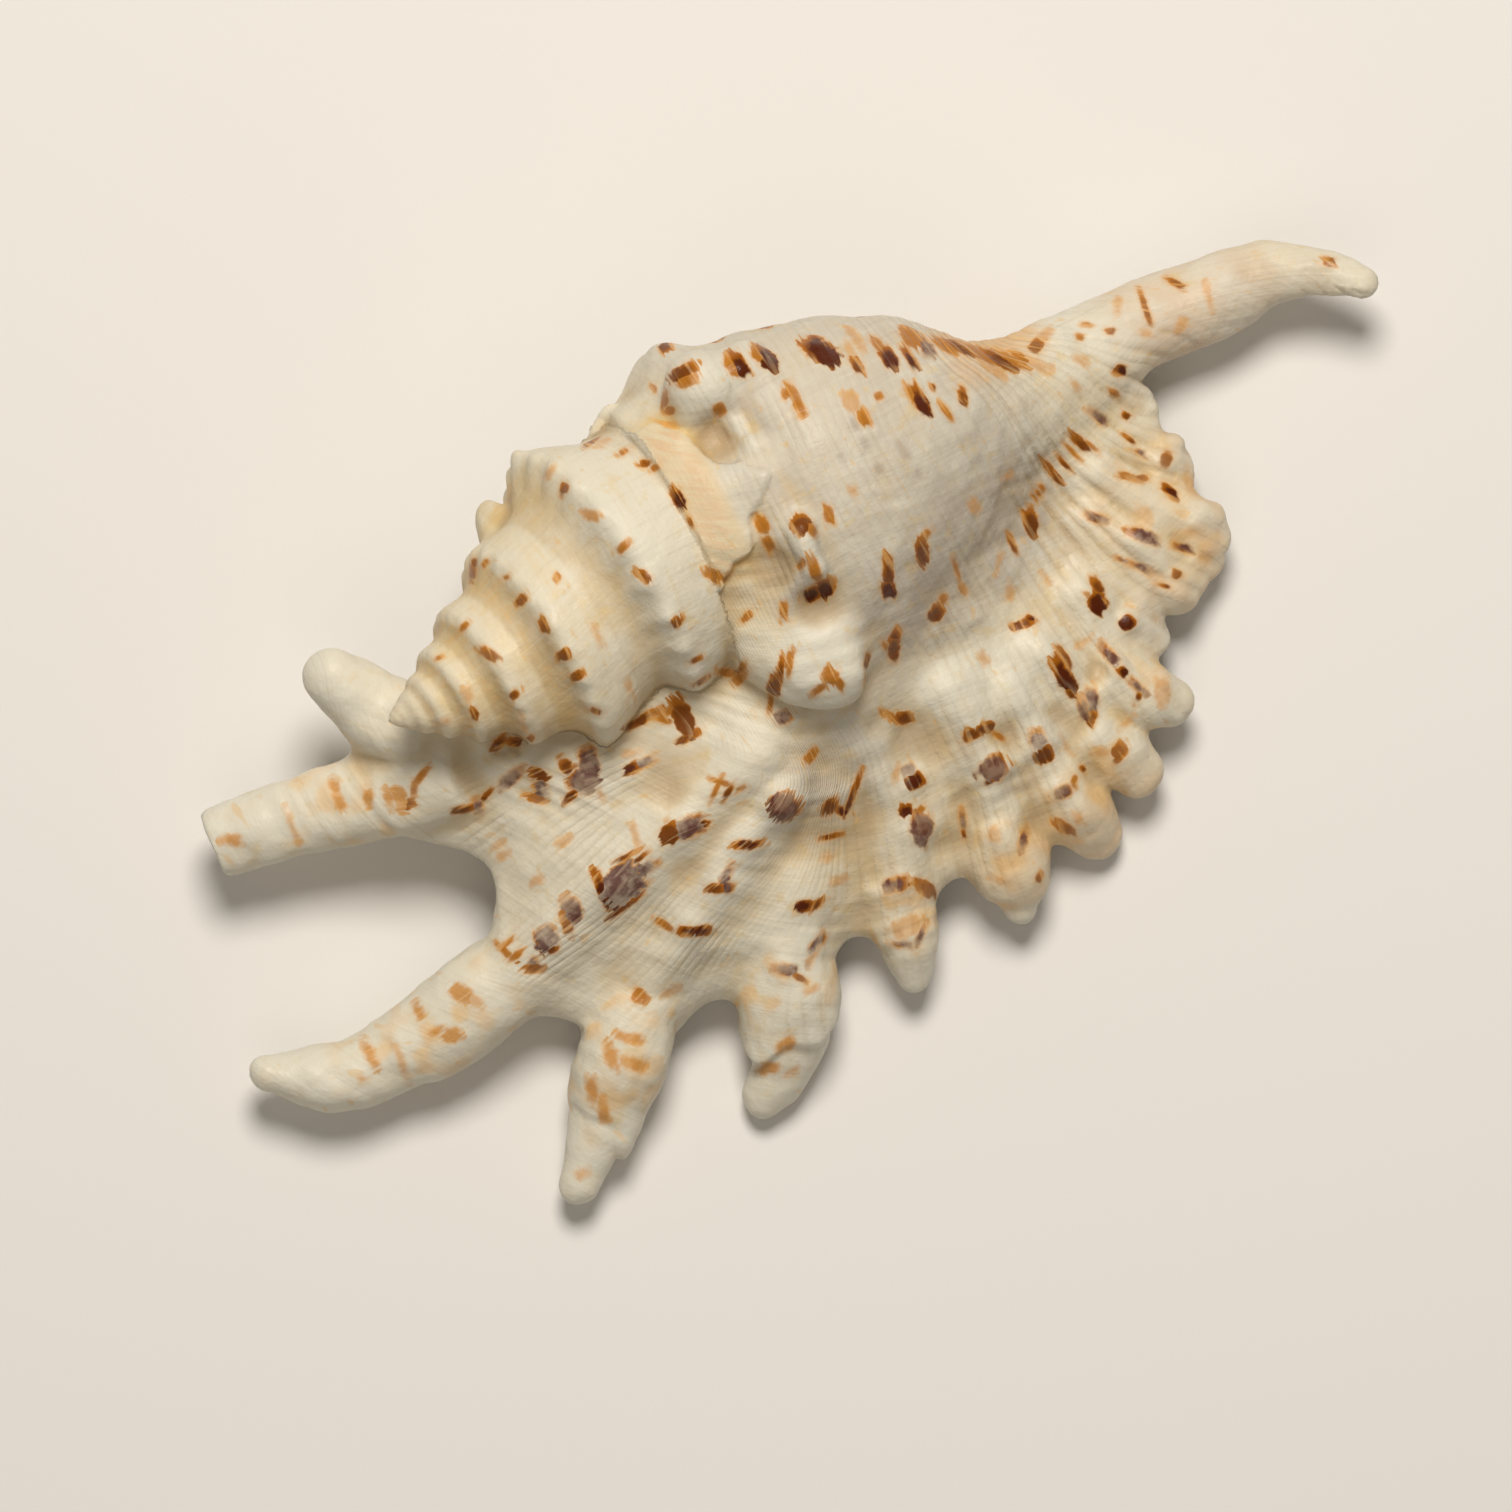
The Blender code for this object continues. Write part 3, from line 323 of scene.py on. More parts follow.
# Marks on the back and the lip: x, y, half length, half width, kind and, if the
# mark doesn't follow the cords, its angle in degrees.
MARKS = [
    (11.4, 38.7, 1.3, 0.6, "brown", 0), (11.4, 37.8, 1, 0.6, "amber", 0),
    (16.8, 36.8, 1.4, 0.6, "dark"), (16.1, 36.9, 1.1, 0.5, "amber"),
    (19.7, 36.3, 1.4, 0.7, "dark"), (19.1, 36.9, 1, 0.5, "amber"), (25, 34.5, 2, 0.9, "dark", -65),
    (24.2, 35.2, 1.2, 0.5, "brown"), (27.7, 31.4, 1, 0.4, "brown"), (27.8, 33, 0.9, 0.3, "pale"),
    (31, 30.7, 1.2, 0.6, "dark"), (30.7, 32.3, 1.1, 0.4, "amber"), (33, 29.7, 1.3, 0.35, "dark"),
    (34.2, 31.6, 1.3, 0.7, "amber"), (35.2, 29.9, 1.1, 0.5, "plum"), (28.9, 34, 1.4, 0.3, "pale"),
    (38.2, 28.5, 1.6, 0.4, "brown", -58), (37, 29.2, 1.3, 0.4, "amber", -60),
    (39.8, 27, 1.9, 0.4, "amber", -58), (41.4, 25.5, 2, 0.5, "brown", -56),
    (42.7, 24.8, 1.8, 0.4, "amber", -54), (44, 24.2, 1.4, 0.4, "amber", -50),
    (45.8, 25, 0.9, 0.5, "rust", 20), (47, 25.6, 0.9, 0.4, "pale", 20),
    (40.2, 25, 1.6, 0.3, "pale", -60), (44.8, 23.4, 1.6, 0.5, "pale", -45),
    (13, 33.6, 0.6, 0.5, "amber", 0), (8.3, 37.2, 0.9, 0.35, "amber", 60),
    (8.3, 35.9, 0.6, 0.35, "amber", -40), (7.9, 38.9, 0.4, 0.25, "amber"),
    (20.4, 31, 1.7, 0.4, "amber"), (19.8, 31.9, 0.5, 0.4, "amber"), (25.3, 28.2, 0.9, 0.6, "pale"),
    (25.8, 26, 0.8, 0.5, "amber"), (28.2, 27.4, 0.5, 0.35, "amber", 0),
    (31.9, 25.1, 1.8, 0.55, "dark"), (31.4, 26.2, 1, 0.35, "amber"),
    (33.7, 25.8, 0.3, 0.25, "brown"), (33.8, 22.9, 0.9, 0.25, "amber"),
    (36.1, 23.6, 0.9, 0.4, "brown", 70), (11.4, 20.8, 0.9, 0.5, "amber"),
    (11.1, 19, 0.9, 0.4, "amber"), (15, 19.2, 0.9, 0.8, "brown"), (15.7, 18.2, 0.7, 0.35, "amber"),
    (18, 18.8, 1, 0.4, "amber", 75), (21.4, 19.6, 0.7, 0.3, "pale"),
    (14.1, 14.4, 1.4, 0.45, "amber"), (13.2, 15.5, 0.5, 0.3, "amber", 30),
    (12.8, 12.3, 0.9, 0.6, "dark", 0), (14.3, 12.2, 0.8, 0.7, "dark", 40),
    (9.4, 12.1, 0.8, 0.35, "amber", 60), (5.8, 13.3, 0.7, 0.3, "amber", 15),
    (20.9, 10.8, 1.8, 0.45, "brown", 66), (20.1, 9.2, 0.9, 0.6, "dark", 80),
    (25, 11.1, 1.3, 0.55, "brown", 68), (25.9, 12.4, 0.8, 0.3, "amber", 20),
    (32, 13, 0.6, 0.4, "pale"), (36.6, 14.2, 0.5, 0.3, "pale", 0),
    (41.3, 12.6, 1.5, 0.32, "brown"), (42.8, 12.8, 1, 0.22, "brown"),
    (44.2, 13.4, 1.1, 0.2, "amber"), (45.4, 13.9, 1.3, 0.4, "brown"),
    (46.2, 13.1, 1, 0.22, "amber"), (38.4, 10.9, 0.4, 0.2, "amber"), (39, 11.2, 0.4, 0.2, "amber"),
    (39.6, 11.5, 0.5, 0.2, "amber"), (48.2, 15.6, 1.1, 0.35, "plum", -62),
    (52.6, 18.7, 0.6, 0.45, "dark", -30), (53.5, 22.9, 0.5, 0.3, "rust"),
    (51, 16.9, 0.5, 0.3, "amber"), (49.2, 21.5, 0.6, 0.3, "pale"), (47.5, 19.5, 0.6, 0.3, "pale"),
    (36.9, 8.9, 1.3, 0.6, "brown", 78), (34.1, 7.7, 0.9, 0.28, "brown", 85),
    (27.5, 8, 1, 0.2, "amber", 80), (27.2, 5.8, 0.4, 0.3, "amber"),
    (23.6, 4.8, 0.9, 0.6, "brown", 25), (24.6, 5.6, 0.7, 0.35, "amber", 30),
    (18, 3.6, 1.2, 0.5, "brown", 62), (18.7, 4.6, 0.7, 0.4, "brown", 40),
    (17.2, 4.1, 0.5, 0.22, "amber"), (14.9, 3.5, 0.9, 0.35, "brown", 55),
    (14.1, 2.2, 0.8, 0.2, "amber", 50), (10.6, 3.9, 0.9, 0.7, "amber", 40),
    (11.1, 2.9, 0.8, 0.35, "amber", -80), (9, 3.2, 1, 0.3, "amber", 10),
    (7.6, 7.4, 1, 0.3, "amber", 40), (6.4, 6.9, 1.3, 0.3, "brown", 55),
    (7.2, 6.5, 0.8, 0.22, "amber", 50), (5, 5.6, 1.3, 0.6, "brown", 48),
    (3.8, 4.2, 0.9, 0.25, "amber", 60), (4.4, 2.4, 0.8, 0.6, "plum", 0),
    (1.3, 9.1, 0.9, 0.35, "amber", -35), (2.2, 8.1, 0.9, 0.45, "amber", 20),
    (2.9, 8.8, 0.6, 0.3, "amber", 40), (31.8, 6.4, 0.9, 0.2, "pale", 50),
    (31.6, 3.5, 0.7, 0.3, "pale", 60), (35.7, 2.8, 0.5, 0.2, "pale"),
    (31.5, -0.4, 1.2, 0.4, "brown", -8), (32.2, -0.2, 0.6, 0.3, "dark", -60),
    (39.4, -1.9, 1.1, 0.8, "dark", 75), (40.1, -0.3, 1, 0.4, "brown", -85),
    (38.8, -0.8, 0.5, 0.25, "amber"), (43.2, 6.2, 1.1, 0.4, "plum", -48),
    (48.4, 8.3, 1, 0.3, "rust", -42), (49.6, 7.6, 0.6, 0.3, "rust", -20),
    (46.8, 2.2, 1.6, 0.5, "plum", -45), (45, -0.6, 1.3, 0.3, "plum", -50),
    (43.8, 0.8, 0.8, 0.2, "violet", -50), (50, -0.8, 0.9, 0.3, "plum", -40),
    (51.5, 5.2, 0.9, 0.4, "dark", -70), (50.2, 11.9, 0.8, 0.22, "brown", -65),
    (50.6, 10.2, 0.5, 0.22, "plum", -60), (52.8, 8.3, 0.7, 0.5, "rust", 40),
    (51, 14.3, 0.5, 0.3, "brown"), (48.2, -3, 0.5, 0.4, "rust"),
    (41.3, -5.2, 0.9, 0.6, "dark", 10), (46.6, -3.6, 0.6, 0.2, "brown", -45),
    (14.3, -2.5, 0.8, 0.3, "amber", -50), (15.4, -3.4, 0.8, 0.55, "brown", -25),
    (26, -1.8, 0.6, 0.4, "pale"), (5.1, -2.6, 0.8, 0.4, "amber", 25),
    (0.3, -6, 1.4, 1.2, "dusk", 0), (0.4, -6.5, 0.9, 0.6, "plum", 0),
    (4.6, -8.2, 0.9, 0.55, "brown", 15), (5.4, -9.2, 0.7, 0.4, "dark", -50),
    (7.4, -8, 2.4, 0.26, "dark", 42), (13.9, -9.9, 0.9, 0.7, "dark", 0),
    (13.8, -8.6, 0.7, 0.6, "violet", 0), (12.3, -8.4, 0.7, 0.3, "pale", 50),
    (21.6, -8.4, 1.3, 0.35, "brown", 0), (21, -8, 0.4, 0.5, "brown"),
    (22.4, -8.2, 0.4, 0.6, "brown"), (23.2, -8.3, 0.4, 0.55, "brown"),
    (23.7, -9.8, 0.8, 0.25, "amber", -60), (21.6, -12.5, 1.4, 1, "dusk", 10),
    (21.2, -12.2, 1.2, 0.4, "plum", 5), (20.8, -13.5, 0.7, 0.25, "brown", 0),
    (32.7, -7, 1.8, 0.7, "dark", -88), (33.6, -5.4, 1.1, 0.35, "brown"),
    (32.6, -9, 0.8, 0.4, "brown"), (34.2, -10.6, 1.2, 0.55, "plum", 75),
    (33.4, -12.4, 0.9, 0.4, "brown", 50), (33.1, -11.2, 1.2, 0.5, "dusk", 70),
    (38, -7.3, 1.3, 0.4, "plum"), (38.4, -9.6, 0.6, 0.4, "dark"), (39.1, -11.7, 1.1, 0.35, "plum"),
    (38.9, -12.6, 0.7, 0.25, "brown", 40), (27.3, -13.7, 0.9, 0.7, "brown", 0),
    (27.2, -12, 0.9, 0.7, "violet"), (27.2, -18, 1, 0.5, "plum", 0),
    (34.4, -16.9, 0.8, 0.6, "rust", 40), (34.2, -17.5, 0.9, 0.3, "rust", 20),
    (32.6, -16.2, 0.7, 0.3, "pale", -30), (25.5, -21.4, 1.1, 0.45, "rust", -55),
    (27.3, -21.4, 0.7, 0.4, "pale"), (29.6, -13.8, 1.1, 0.2, "pale"),
    (36.4, -14.6, 0.8, 0.3, "pale", 20), (28.8, -17.4, 0.5, 0.25, "amber", 40),
    (30.1, -16.8, 0.3, 0.25, "brown"), (41.2, -13.4, 1.3, 0.7, "pale", 60),
    (36.3, -5, 0.6, 0.2, "pale", 10), (21.2, -20.6, 1.1, 0.35, "plum", 50),
    (20.8, -25, 0.5, 0.3, "rust", 40), (16.4, -15.8, 1, 0.28, "plum", 68),
    (15.8, -17.2, 0.5, 0.2, "brown"), (16.8, -23.2, 0.6, 0.2, "pale", -50),
    (18.6, -18.8, 0.5, 0.4, "pale"), (11.4, -12.2, 0.6, 0.6, "dark"),
    (12.9, -12.9, 0.5, 0.3, "amber", 30), (12.2, -14.4, 1.4, 0.9, "dusk", 60),
    (11.5, -15.6, 0.8, 0.6, "plum", 50), (3.2, -11.1, 1.1, 0.25, "brown", -14),
    (2, -13, 0.6, 0.3, "pale", 0), (1.8, -15.6, 0.7, 0.3, "pale", 0),
    (7, -18.8, 1.1, 0.6, "plum", -10), (8.6, -19.3, 0.7, 0.25, "brown", 0),
    (9.6, -20.6, 1.1, 0.6, "rust", -65), (9.6, -20.4, 0.8, 0.4, "plum", -65),
    (5.9, -23.3, 1.6, 0.9, "pale", 0), (4.6, -24.6, 1, 0.25, "plum", -35),
    (7, -24.6, 1, 0.25, "plum", 40), (-2.6, -16.4, 1.1, 0.5, "dark", -15),
    (-1.3, -16.8, 0.8, 0.35, "brown", 15), (-7.5, -21.4, 1.2, 0.5, "plum", -35),
    (-6.6, -22.8, 0.7, 0.3, "rust", -60), (-3, -20.4, 1.1, 0.4, "violet", 30),
    (-4.4, -21.6, 0.8, 0.25, "plum", 35), (-6, -24.6, 0.6, 0.25, "pale", 0),
    (-5.6, -7.6, 0.9, 0.4, "dark", -25), (-4.3, -8.2, 0.9, 0.32, "dark", -10),
    (-9.9, -10.5, 0.9, 0.45, "brown", -20), (-8.9, -10.9, 0.6, 0.4, "plum", -20),
    (-8.3, -9.7, 1.1, 0.35, "violet", 35), (-14.8, -13.1, 1, 0.45, "dark", -30),
    (-13.3, -13.8, 1, 0.45, "dark", -20), (-16.6, -11.4, 1.1, 0.28, "amber", -60),
    (-11.6, -3.1, 1.1, 0.8, "brown", 15), (-9.6, -3.4, 1.9, 0.8, "plum", -8),
    (-8.2, -3.8, 0.8, 0.35, "dark", -20), (-5.3, -1.2, 1.3, 0.22, "amber", 38),
    (-4.4, -0.9, 1.1, 0.25, "amber", -45), (-4.2, -2, 0.9, 0.25, "brown", 30),
    (-3, -2.3, 0.6, 0.22, "amber", 0), (-16.6, -3.2, 1.4, 0.22, "brown", 0),
    (-18.2, -4.2, 1.5, 0.22, "brown", 2), (-15.6, -4, 1, 0.22, "brown", 12),
    (-15.4, -5.2, 1, 0.45, "violet", 10), (-17, -5, 1.1, 0.22, "violet", 5),
    (-20.7, -5, 2, 0.45, "dark", 86), (-20.4, -6.6, 1.2, 0.5, "dark", -80),
    (-18.4, -5.6, 2.3, 1.5, "violet", 15), (-19.3, -7.8, 2.3, 0.26, "dark", 10),
    (-17.3, -7, 1.2, 0.22, "plum", 15), (-25.6, -6.4, 1.4, 0.5, "rust", 80),
    (-24.6, -5.5, 1.3, 0.8, "plum", 80), (-23.3, 13.4, 0.9, 0.4, "brown", 20),
    (-21.8, 12.8, 0.7, 0.4, "brown", -30), (-28.3, -7.1, 1.2, 1, "violet", 70),
    (-28.2, -8.3, 0.6, 0.4, "brown", 0), (-29.2, -6.9, 0.9, 0.3, "rust", 80),
    (-32.9, -6.2, 1, 0.3, "amber", -70), (-32, -7.2, 0.9, 0.3, "amber", 10),
    (-32.2, -5.6, 0.8, 0.25, "amber", 10), (-31, -9.3, 1, 0.4, "rust", -25),
    (-30.6, -8.6, 0.5, 0.3, "plum"), (-5, 7.2, 2, 0.8, "brown", 88),
    (-5.6, 8.4, 1.3, 0.35, "amber", 10), (-5.2, 5, 1.3, 0.4, "brown", 0),
    (-6.9, 7.7, 0.8, 0.25, "amber", -40), (-8.4, 8.8, 2.2, 0.4, "brown", 2),
    (-1.3, 9.5, 0.9, 0.25, "brown", 5), (-12.1, 4.7, 0.8, 0.5, "dark", 0),
    (-10.5, 4.7, 1.2, 0.4, "violet", 0), (-11.2, 6.1, 0.8, 0.25, "pale", -20),
    (-15.8, 7.4, 1.5, 0.8, "plum", 75), (-18.2, 8, 0.9, 0.5, "brown", 90),
    (-17.2, 5.9, 1.5, 1.1, "plum", -50), (-18.9, 5.1, 0.9, 0.35, "dark", 15),
    (-16.3, 3.9, 0.7, 0.3, "pale", 80), (-21.2, 8.6, 1, 0.5, "brown", -50),
    (-21.6, 7.3, 0.9, 0.6, "violet", 90), (-23.9, 9.6, 1.6, 0.5, "plum", 10),
    (-22.6, 6.6, 0.9, 0.4, "rust", -40), (-29.6, 8.9, 1.3, 0.35, "brown", -15),
    (-28.4, 8.5, 0.9, 0.45, "plum", 70), (-27, 9.2, 1, 0.25, "brown", 20),
    (-35.3, 12.9, 1.1, 0.7, "honey", 90), (-34.7, 12, 0.7, 0.45, "rust", 0),
    (-36.4, 13.4, 0.9, 0.4, "honey", 80), (-32.3, 14, 1.2, 0.3, "amber", 22),
    (-33.4, 13.3, 0.7, 0.3, "amber", 60), (-28.3, 4, 0.5, 0.3, "pale", 0),
    (-28.4, 2.8, 0.5, 0.3, "pale", 0), (-26.6, -1.2, 0.6, 0.3, "pale", 10),
    (-22, 1.2, 0.6, 0.3, "pale", 0), (-15, -1.4, 0.8, 0.25, "pale", 80),
    (-11.4, -1.8, 0.5, 0.3, "pale", 0), (-22.4, -17, 0.9, 0.6, "amber", -60),
    (-19.2, -18, 0.8, 0.25, "pale", 0), (-25.4, -20.3, 1.3, 0.4, "honey", -35),
    (-27.9, -21.3, 1.4, 0.5, "honey", 80), (-26.4, -23, 1.2, 0.5, "honey", -35),
    (-31.4, -23.6, 1.3, 0.45, "honey", 70), (-31.4, -26, 1.2, 0.4, "honey", 70),
    (-36.6, -31, 0.8, 0.5, "pale", 0), (-11.1, -28.6, 0.8, 0.5, "honey", 0),
    (-13.8, -30.1, 0.9, 0.4, "honey", -20), (-11.9, -31.4, 0.6, 0.3, "pale", 0),
    (-39, -8.2, 1.2, 0.6, "honey", -60), (-38.1, -9.4, 0.8, 0.4, "pale", -60),
    (-43.9, -7.7, 0.8, 0.45, "honey", 80), (-42, -11.6, 0.9, 0.6, "honey", -20),
    (-43.2, -10.6, 0.7, 0.35, "honey", 0), (-50.6, -9.6, 1.6, 0.4, "honey", 88),
    (-52.4, -11.6, 0.5, 0.3, "pale", 0), (-48, -12, 1.8, 0.3, "pale", 80),
    (-53.2, 17.2, 1, 0.5, "honey", -25), (-41, 16.4, 1.5, 0.4, "honey", 84),
    (-46.8, 15.8, 1.8, 0.2, "pale", 84), (-38.2, 14.6, 0.7, 0.35, "honey", 70),
    (62, 24.4, 0.9, 0.3, "rust", -60), (58, 23.6, 1.8, 0.25, "rust", 80),
    (56.8, 21, 0.6, 0.3, "pale"), (60.4, 20, 0.5, 0.3, "pale", 30),
    (50.4, 23.8, 0.4, 0.3, "amber"), (51.6, 24.6, 0.4, 0.25, "amber"),
    (64.5, 21.4, 1.4, 0.25, "pale", 75), (77.4, 19, 0.6, 0.4, "rust", -40),
    (55.5, 25, 0.8, 0.25, "pale", 60),
]
# The same for the spire and its last suture.
SPIRE_MARKS = [
    (-5.1, 33.7, 0.6, 0.35, "spot", 50), (-5.6, 36, 0.6, 0.25, "pale", 30),
    (-3.9, 29.9, 0.8, 0.4, "honey", -50), (-2.4, 25.4, 0.7, 0.35, "amber", 20),
    (-1.9, 21.8, 0.8, 0.45, "spot", -60), (-1, 16.1, 0.6, 0.4, "spot", 20),
    (-1, 11.7, 0.7, 0.22, "spot", 0), (-0.2, 37, 0.9, 0.3, "spot", 15),
    (0.7, 36.2, 0.5, 0.3, "pale", 0), (2.1, 34.3, 0.5, 0.25, "amber", 0),
    (3.4, 32.2, 0.5, 0.35, "spot", -30), (4.2, 31.3, 0.4, 0.3, "amber", 0),
    (4.9, 27.4, 1.1, 0.5, "dark", 88), (4.9, 24.6, 0.5, 0.22, "spot", 88),
    (4.6, 18.6, 0.9, 0.5, "amber", -60), (6.2, 18.2, 0.7, 0.22, "pale", 20),
    (-17.6, 30.4, 0.8, 0.35, "rust", 60), (-17, 31.2, 0.6, 0.25, "spot", 60),
    (-15.9, 30.6, 0.4, 0.25, "amber", 30), (-14.2, 25.4, 0.6, 0.4, "spot", 20),
    (-13.4, 22, 0.7, 0.4, "spot", 85), (-12.8, 18.3, 0.6, 0.5, "spot", 0),
    (-12.6, 15.8, 0.6, 0.4, "spot", 0), (-12.7, 11.7, 0.6, 0.25, "spot", -45),
    (-14.6, 28.2, 0.3, 0.2, "amber", 0), (-9.9, 25.8, 0.4, 0.3, "amber", 40),
    (-8.9, 18.4, 0.9, 0.3, "pale", 88), (-8.5, 12.2, 0.8, 0.3, "pale", 80),
    (-20.8, 25.7, 0.5, 0.25, "amber", 20), (-19.8, 21.9, 1, 0.4, "rust", -60),
    (-19.4, 17, 0.6, 0.35, "spot", 15), (-20.2, 12.2, 0.5, 0.3, "spot", 20),
    (-19.9, 14.2, 0.7, 0.2, "pale", 80), (-24.7, 24, 0.3, 0.2, "amber", 0),
    (-24, 17.2, 0.6, 0.35, "spot", 88), (-23.7, 19.2, 0.7, 0.35, "pale", 80),
    (-26.9, 17.8, 0.4, 0.3, "pale", 0),
]
# Rows of marks on the far flank of the last whorl: axis x, turn, half length.
FLANK_MARKS = [
    (11, 0.8, 1.3), (16.2, 0.79, 1.5), (21.4, 0.8, 1.4), (26, 0.79, 1.5), (30.4, 0.8, 1.2),
    (13.4, 0.7, 1.4), (18.6, 0.69, 1.2), (23.4, 0.7, 1.5), (28.2, 0.7, 1.1), (33.4, 0.72, 1),
    (9, 0.66, 1.1), (-4.6, 0.74, 0.8), (-4, 0.64, 0.8), (-13.6, 0.66, 0.6), (-13.2, 0.6, 0.6),
]
FLANK_MARK_HALF_WIDTH = 0.6

# ---------------------------------------------------------------- colours

CREAM = (0.735, 0.655, 0.490)
DORSAL_GREY = (0.560, 0.510, 0.430)
# Grey of the speckles on the back, also laid as painted shade on the flank and in hollows.
GREY_AND_PAINTED_SHADE = (0.400, 0.335, 0.275)
WHITE = (0.715, 0.690, 0.585)
STRAW = (0.690, 0.505, 0.215)
PEACH = (0.760, 0.510, 0.245)
PINK = (0.640, 0.470, 0.330)
TAN = (0.400, 0.275, 0.140)
FLECK = (0.720, 0.440, 0.150)
HONEY = (0.700, 0.335, 0.060)
AMBER = (0.360, 0.110, 0.004)
CHESTNUT = (0.085, 0.014, 0.001)
PLUM = (0.090, 0.044, 0.055)
SOIL = (0.130, 0.080, 0.035)
MOUTH_BROWN = (0.330, 0.150, 0.080)
MOUTH_PALE = (0.700, 0.520, 0.340)

# Heights in millimetres of what is too fine for the mesh.
FINE_CORD = 0.085
FINE_HAIR = 0.080
FINE_RING = 0.080
FINE_SPECK = 0.085
FINE_GRAIN = 0.026
# Noises drawn out along the cords or the growth lines: what they run across,
# scale there and along the growth, seed, detail and roughness.
FLOWING_NOISES = {
    "streak": ("stria", 0.8, 0.10, 0.0, 3.0, 0.6), "hair": ("stria", 2.3, 0.14, 7.0, 2.0, 0.5),
    "stroke": ("stria", 1.5, 0.18, 23.0, 1.0, 0.5), "rings": ("cord", 0.10, 1.2, 3.0, 3.0, 0.6),
    "fleck": ("cord", 0.9, 0.45, 11.0, 1.5, 0.5), "short_ribs": ("cord", 0.35, 1.5, 31.0, 2.0, 0.5),
}
# Noises without a direction: scale, detail and roughness.
EVEN_NOISES = {
    "cloud": (180.0, 4.0, 0.55), "mottle": (420.0, 3.0, 0.6), "speck": (1100.0, 2.0, 0.5),
    "grain": (2600.0, 2.0, 0.6),
}


# ---------------------------------------------------------------- mathematics

def ease(low, high, value):
    t = np.clip((value - low) / (high - low), 0.0, 1.0)
    return t * t * (3.0 - 2.0 * t)


def ridges(value, spacing=1.0, power=1.0):
    """Ridges with sharp valleys between them, a given distance apart, from 0 to 1."""
    return np.abs(np.sin(math.pi * value / spacing))**power


def turn_gap(turn, at):
    """Difference between two turns, from -0.5 to 0.5."""
    return (turn - at + 0.5) % 1.0 - 0.5


def blob(place, px, py, reach_x, reach_y):
    """1 at a place in plan, falling to 0 beyond the two half sizes."""
    return np.exp(-((place.x - px) / reach_x)**4 - ((place.y - py) / reach_y)**4)


def smooth_table(table, column, at):
    """Read one column of a table at given first-column values, without corners."""
    xs = np.array([row[0] for row in table], float)
    ys = np.array([row[column] for row in table], float)
    slope = np.gradient(ys, xs)
    at = np.clip(at, xs[0], xs[-1])
    i = np.clip(np.searchsorted(xs, at) - 1, 0, len(xs) - 2)
    width = xs[i + 1] - xs[i]
    t = (at - xs[i]) / width
    rise = ys[i + 1] - ys[i]
    a = slope[i] * width - rise
    b = rise - slope[i + 1] * width
    return (1 - t) * ys[i] + t * ys[i + 1] + t * (1 - t) * (a * (1 - t) + b * t)


def thin_plate(points):
    """Smooth function of x and y that passes through points (x, y, value)."""
    table = np.array(points, float)
    xy = table[:, :2]
    count = len(xy)
    gap = np.hypot(*(xy[:, None, :] - xy[None, :, :]).transpose(2, 0, 1))
    system = np.zeros((count + 3, count + 3))
    system[:count, :count] = gap**2 * np.log(gap + 1e-9)
    system[:count, count] = 1.0
    system[:count, count + 1:] = xy
    system[count:, :count] = system[:count, count:].T
    weights = np.linalg.solve(system, np.append(table[:, 2], [0.0, 0.0, 0.0]))

    def value(x, y):
        total = weights[count] + weights[count + 1] * x + weights[count + 2] * y
        for (px, py), weight in zip(xy, weights):
            square = (x - px)**2 + (y - py)**2
            total = total + weight * 0.5 * square * np.log(square + 1e-9)
        return total

    return value


def distance_to_path(x, y, path):
    """Distance from each point to a polyline, and which side of it they are on."""
    best = np.full(np.shape(x), 1e9)
    side = np.zeros(np.shape(x))
    for (ax, ay), (bx, by) in zip(path, path[1:]):
        length = (bx - ax)**2 + (by - ay)**2
        t = np.clip(((x - ax) * (bx - ax) + (y - ay) * (by - ay)) / length, 0.0, 1.0)
        gap = np.hypot(x - ax - t * (bx - ax), y - ay - t * (by - ay))
        turn = np.sign((bx - ax) * (y - ay) - (by - ay) * (x - ax))
        side = np.where(gap < best, turn, side)
        best = np.minimum(best, gap)
    return best, side


def blend_corners(table, cell, part):
    """Value inside each cell of a table, blended between the cell's eight corners."""
    total = 0.0
    for corner in itertools.product((0, 1), repeat=3):
        weight = 1.0
        for t, step in zip(part, corner):
            weight = weight * (t if step else 1 - t)
        index = tuple((c + step) % size for c, step, size in zip(cell, corner, table.shape))
        total = total + weight * table[index]
    return total


def lattice_noise(x, y, z, size, seed):
    """Smooth random values between -1 and 1 with bumps of the given size."""
    table = np.random.default_rng(seed).uniform(-1.0, 1.0, (64, 64, 64))
    place = [np.asarray(v, float) / size + 1000.0 for v in (x, y, z)]
    cell = [np.floor(v).astype(int) for v in place]
    return blend_corners(table, cell, [ease(0.0, 1.0, v - c) for v, c in zip(place, cell)])


# ---------------------------------------------------------------- surfaces

def axis_height(x):
    return APEX[2] + AXIS_SLOPE_Z * (x - APEX[0])


def whorls_from_top(s, turn):
    """Number of whorls between a place on the spire and the suture at the top."""
    return np.log(np.maximum(s, 0.3) / SUTURE_AT_TOP) / math.log(WHORL_GROWTH) - turn


